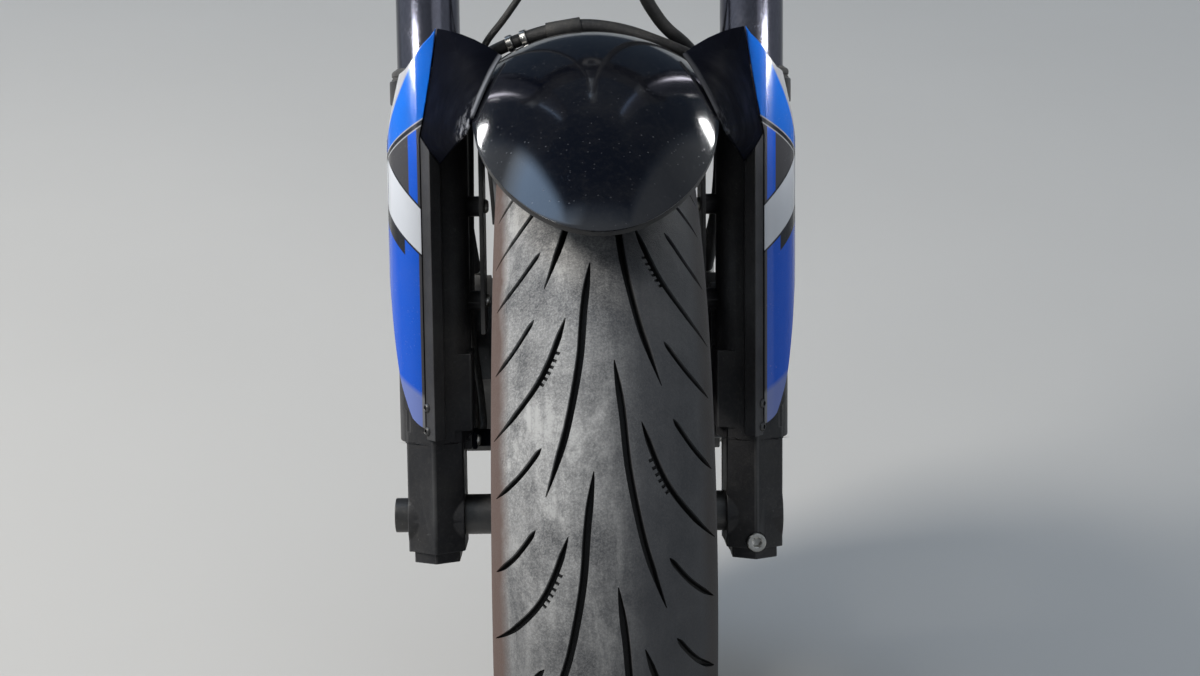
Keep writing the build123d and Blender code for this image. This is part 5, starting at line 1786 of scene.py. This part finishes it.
@dataclass
class Steering:
    """The lower yoke with its bolts, the stem and its lower bearing."""

    offset: float = 30.0
    foot: float = 466.0
    seat_radius: float = 15.0
    seat_top: float = 523.0
    radius: float = 13.0
    shoulder: float = 666.0
    neck_radius: float = 11.0
    top: float = 716.0
    bore: float = 7.0
    thread_pitch: float = 1.25
    bearing_foot: float = 508.0
    bearing_radius: float = 24.0
    rollers: int = 20
    clamp: Screw = Screw(Head.SOCKET, radius=6.5, height=8.0, key=3.0, shank=4.0, length=25.0)
    clamp_x: float = 123.0
    clamp_y: float = 36.0
    clamp_heights: tuple = (480.26, 497.74)

    def stem(self) -> None:
        """The hollow stem with its threaded neck."""
        wide, slim, neck, bore = self.seat_radius, self.radius, self.neck_radius, self.bore
        foot, top, shoulder = self.foot, self.top, self.shoulder
        profile = [(bore + 0.8, foot), (wide - 0.8, foot), (wide, foot + 0.8), (wide, self.seat_top - 0.5)]
        profile += [(wide - 0.5, self.seat_top), (slim, self.seat_top), (slim, shoulder - 1.0)]
        profile += [(slim - 0.8, shoulder), (neck - 0.7, shoulder + 0.2)]
        height = shoulder + 1.5
        while height < top - 2.0:
            profile += [(neck - 0.7, height), (neck, height + self.thread_pitch / 2)]
            height += self.thread_pitch
        profile += [(neck - 0.7, height), (neck - 1.0, top), (bore + 0.8, top), (bore, top - 0.8)]
        profile.append((bore, foot + 0.8))
        tray = Tray()
        tray.add(lathe(profile, closed=True, steps=60), (0.0, self.offset, 0.0), UPWARD)
        tray.show("steering_stem_piece", "stem_steel", stands_for=("steering_stem",))

    def bearing(self) -> None:
        """The tapered bearing's inner race with its ring of rollers in a cage."""
        tray = Tray()
        low, inner, outer = self.bearing_foot, self.seat_radius + 0.03, self.bearing_radius
        race = [(inner, 0.5), (inner + 0.5, 0.0), (outer - 2.4, 0.0), (outer - 2.2, 1.6), (outer - 3.8, 1.8)]
        race += [(outer - 6.6, 13.2), (outer - 5.6, 13.4), (outer - 5.6, 14.7), (inner + 0.5, 15.0)]
        race.append((inner, 14.5))
        cage = [(outer - 1.0, 0.4), (outer, 0.4), (outer - 0.2, 1.6), (outer - 1.3, 1.6)]
        crown = [(outer - 4.9, 13.6), (outer - 3.4, 13.6), (outer - 3.8, 14.8), (outer - 4.9, 14.8)]
        for ring in (race, cage, crown):
            tray.add(lathe(ring, closed=True, steps=60), (0.0, self.offset, low), UPWARD)
        roller = [(0.0, 0.0), (1.7, 0.0), (2.05, 0.4), (1.7, 11.0), (1.3, 11.4), (0.0, 11.4)]
        for count in range(self.rollers):
            turn = count * math.tau / self.rollers
            out = Vector((math.cos(turn), math.sin(turn), 0.0))
            place = out * (outer - 2.3) + Vector((0.0, self.offset, low + 1.9))
            tray.add(lathe(roller, steps=18), place, Vector((0, 0, 1)) - out * 0.26)
        tray.show("stem_bearing_piece", "bearing_steel", stands_for=("stem_bearing",))

    def build(self) -> None:
        """Round the yoke's edges, then fit stem, bearing and clamp bolts."""
        softened("lower_yoke", "yoke_casting", 1.2)
        self.stem()
        self.bearing()
        clamps = Tray()
        for side in Side:
            for height in self.clamp_heights:
                place = side.at(self.clamp_x, self.clamp_y, height)
                clamps.add(self.clamp.build(), place, side.at(1, 0, 0))
        clamps.show("yoke_bolts_piece", "zinc_steel", stands_for=("yoke_bolts",))


@dataclass
class Lines:
    """Ferrules, clip and joint of the brake hoses, and the wheel speed sensor."""

    hose_radius: float = 4.5
    ferrule: float = 15.0
    ends: tuple = (
        ((86.0, 65.4, 182.5), (85.0, 87.9, 169.5)),
        ((-86.0, 60.6, 174.1), (-85.0, 83.1, 161.1)),
        ((86.0, 60.6, 174.1), (85.0, 83.1, 161.1)),
    )
    clip_run: tuple = ((-58.0, 15.0, 325.5), (-32.0, 9.0, 334.0))
    clip_shares: tuple = (0.12, 0.50)
    joint_run: tuple = ((-32.0, 9.0, 334.0), (-4.0, 8.0, 338.5))
    sensor_screw: Screw = Screw(Head.BUTTON, radius=4.0, height=2.6, key=1.8)
    sensor_screw_place: tuple = (-81.7, -5.0, 53.5)

    def build(self) -> None:
        """Crimp the hose ends, clip the crossover hose and screw the sensor on."""
        r = self.hose_radius
        metal, sleeves = Tray(), Tray()
        for start, end in self.ends:
            along = (Vector(end) - Vector(start)).normalized()
            profile = [(r, 0.0), (r + 0.5, 0.3)]
            for k in range(3):
                low = 1.0 + 2.6 * k
                profile += [(r + 1.0, low), (r + 1.0, low + 1.6), (r + 0.5, low + 1.9), (r + 0.5, low + 2.3)]
            profile += [(r + 1.0, 9.2), (r + 0.9, 11.0), (r + 0.1, 12.2), (r + 0.1, self.ferrule)]
            profile += [(r - 0.2, self.ferrule), (r - 0.2, 0.2)]
            metal.add(lathe(profile, closed=True), Vector(end) - along * self.ferrule, along)
        start, end = (Vector(p) for p in self.clip_run)
        along = (end - start).normalized()
        band = [(r - 0.1, -2.2), (r + 0.9, -2.2), (r + 1.2, -1.7)]
        band += [(radius, -height) for radius, height in reversed(band)]
        for share in self.clip_shares:
            metal.add(lathe(band, closed=True), start.lerp(end, share), along)
        metal.show("hose_ferrules", "zinc_steel")
        start, end = (Vector(p) for p in self.joint_run)
        sleeve = [(r - 0.1, -12.0), (r + 0.6, -12.0), (r + 0.9, -11.4)]
        sleeve += [(radius, -height) for radius, height in reversed(sleeve)]
        sleeves.add(lathe(sleeve, closed=True), start.lerp(end, 0.5), (end - start).normalized())
        sleeves.show("hose_sleeve", "hose", wears="rubber")
        softened("speed_sensor", "black_plastic", 0.5)
        screws = Tray()
        screws.add(self.sensor_screw.build(), self.sensor_screw_place, (1, 0, 0))
        screws.show("sensor_screw", "zinc_steel")


@dataclass(frozen=True)
class Lamp:
    """An area lamp: where it stands, the point it faces, its size, its power in watts and its beam."""

    name: str
    place: tuple
    aim: tuple
    size: tuple
    power: float
    colour: tuple = grey(1.0)
    spread: float = 180.0

    def build(self, side: Side = Side.RIGHT) -> None:
        """Put it up.

        Args:
            side: LEFT takes it over to the other side.
        """
        data = bpy.data.lights.new(self.name, "AREA")
        data.shape = "RECTANGLE"
        data.size, data.size_y = self.size
        data.energy = self.power
        data.color = self.colour
        data.spread = math.radians(self.spread)
        place, aim = Vector(side.at(*self.place)), Vector(side.at(*self.aim))
        lamp = placed(self.name, data)
        lamp.visible_camera = False
        lamp.location = place
        lamp.rotation_euler = (aim - place).to_track_quat("-Z", "Y").to_euler()


@dataclass
class Studio:
    """Sky, pale floor, lamps and the camera where the photograph was taken."""

    camera_place: tuple = (-0.0189, -1.1353, 0.1255)
    camera_yaw: float = 1.47
    camera_pitch: float = 30.72
    lens: float = 45.66
    floor_half: float = 6.0
    front_light: float = 0.26
    side_light: float = 0.35
    top_light: float = 0.45
    back_light: float = 0.06
    right_share: float = 0.62
    patch: tuple = (-0.38, 0.43, 0.82)
    patch_light: float = 3.6
    patch_edge: tuple = (0.93, 0.985)
    front_lean: float = 0.55
    front_edge: tuple = (0.07, 0.14)
    back_edge: tuple = (0.20, 0.31)
    side_spread: tuple = (0.3, 0.9)
    top_spread: tuple = (0.7, 0.97)
    right_edge: tuple = (-0.10, 0.35)
    brightest: float = 9.0
    haze: tuple = (0.84, 0.92, 1.0)
    clear_sky: tuple = (0.50, 0.70, 1.0)
    lamps: tuple = (
        Lamp(
            "key", (-2.3, -0.7, 1.95), (0.0, -0.3, -0.45), size=(0.9, 0.9), power=88.0,
            colour=(1.0, 0.97, 0.92),
        ),
        Lamp(
            "fill", (1.6, -2.2, 0.6), (0.0, -0.3, -0.45), size=(1.6, 1.6), power=5.0,
            colour=(0.90, 0.94, 1.0),
        ),
    )
    glints: tuple = (
        Lamp(
            "guard_glint", (0.328, -0.353, -0.115), (0.118, -0.115, -0.262), size=(0.13, 0.03),
            power=0.042, spread=36.0,
        ),
        Lamp(
            "blade_glint", (0.589, 0.475, 0.005), (0.069, -0.345, -0.235), size=(0.12, 0.08), power=0.02,
            spread=24.0,
        ),
    )

    def floor(self) -> None:
        """A flat floor under the tyre."""
        bm = bmesh.new()
        bmesh.ops.create_grid(bm, x_segments=8, y_segments=8, size=self.floor_half)
        bmesh.ops.translate(bm, verts=bm.verts, vec=(0, 0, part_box("tyre")[0].z))
        mesh = as_mesh(bm, "floor")
        mesh.materials.append(Floor("pale_floor").material())
        placed("floor", mesh)

    def sky(self) -> None:
        """Cool light from the front, the sides and overhead, dim behind, brightest towards the upper left."""
        world = bpy.data.worlds.new("sky")
        world.use_nodes = True
        wiring = Wiring(world.node_tree)
        toward = wiring.node("ShaderNodeTexCoord").outputs["Generated"]
        across, back, up = wiring.split(toward)
        aside = wiring.math("ABSOLUTE", across)
        beside = wiring.minus(aside, wiring.times(back, self.front_lean))
        behind = wiring.ramp(back, *self.back_edge, 1.0, 0.0)
        lit = wiring.highest(wiring.ramp(beside, *self.front_edge), behind)
        level = wiring.plus(wiring.ramp(aside, *self.side_spread, 0.0, self.side_light), self.front_light)
        level = wiring.plus(level, wiring.ramp(up, *self.top_spread, 0.0, self.top_light))
        level = wiring.times(level, wiring.ramp(across, *self.right_edge, 1.0, self.right_share))
        near = wiring.vectors("DOT_PRODUCT", toward, Vector(self.patch).normalized(), "Value")
        patch = wiring.ramp(near, *self.patch_edge)
        level = wiring.plus(level, wiring.times(patch, self.patch_light))
        top = self.brightest
        strength = wiring.ramp(wiring.times(level, lit), 0.0, top, self.back_light, top)
        surface = world.node_tree.nodes["Background"]
        clear = wiring.highest(patch, wiring.rest(lit))
        wiring.fill(surface, {"Color": wiring.blend(clear, self.haze, self.clear_sky), "Strength": strength})
        bpy.context.scene.world = world

    def lights(self) -> None:
        """The sky, a broad key from the upper left, a softer fill and four small lamps for the glints."""
        self.sky()
        for lamp in self.lamps:
            lamp.build()
        for side in Side:
            for glint in self.glints:
                glint.build(side)

    def camera(self) -> None:
        """The photograph's camera."""
        data = bpy.data.cameras.new("photo_camera")
        data.lens = self.lens
        data.sensor_width = 36.0
        data.sensor_fit = "HORIZONTAL"
        seen_from = placed("photo_camera", data)
        seen_from.location = self.camera_place
        seen_from.rotation_euler = (math.radians(90 - self.camera_pitch), 0.0, -math.radians(self.camera_yaw))
        bpy.context.scene.camera = seen_from

    def build(self) -> None:
        """Set the whole stage."""
        self.camera()
        self.floor()
        self.lights()
        bpy.context.scene.view_settings.view_transform = "Standard"


def dress_nodes() -> None:
    """Give every CAD node the finish of its material slot."""
    for name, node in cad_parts.items():
        slot = node.data.materials[0].name.split(".")[0]
        node.data.materials[0] = FINISHES[slot].material()
        log.info("%s wears %s", name, slot)


def save_sizes() -> None:
    """Update the view layer."""
    bpy.context.view_layer.update()


def main() -> None:
    """Build the stage and every sub-assembly in order."""
    logging.basicConfig(level=logging.INFO, format="%(message)s")
    Studio().build()
    dress_nodes()
    for assembly in (Tyre(), Mudguard(), Legs(), Brakes(), Wheel(), Steering(), Lines()):
        assembly.build()
        log.info("%s built", type(assembly).__name__)
    save_sizes()


if __name__ == "__main__":
    main()
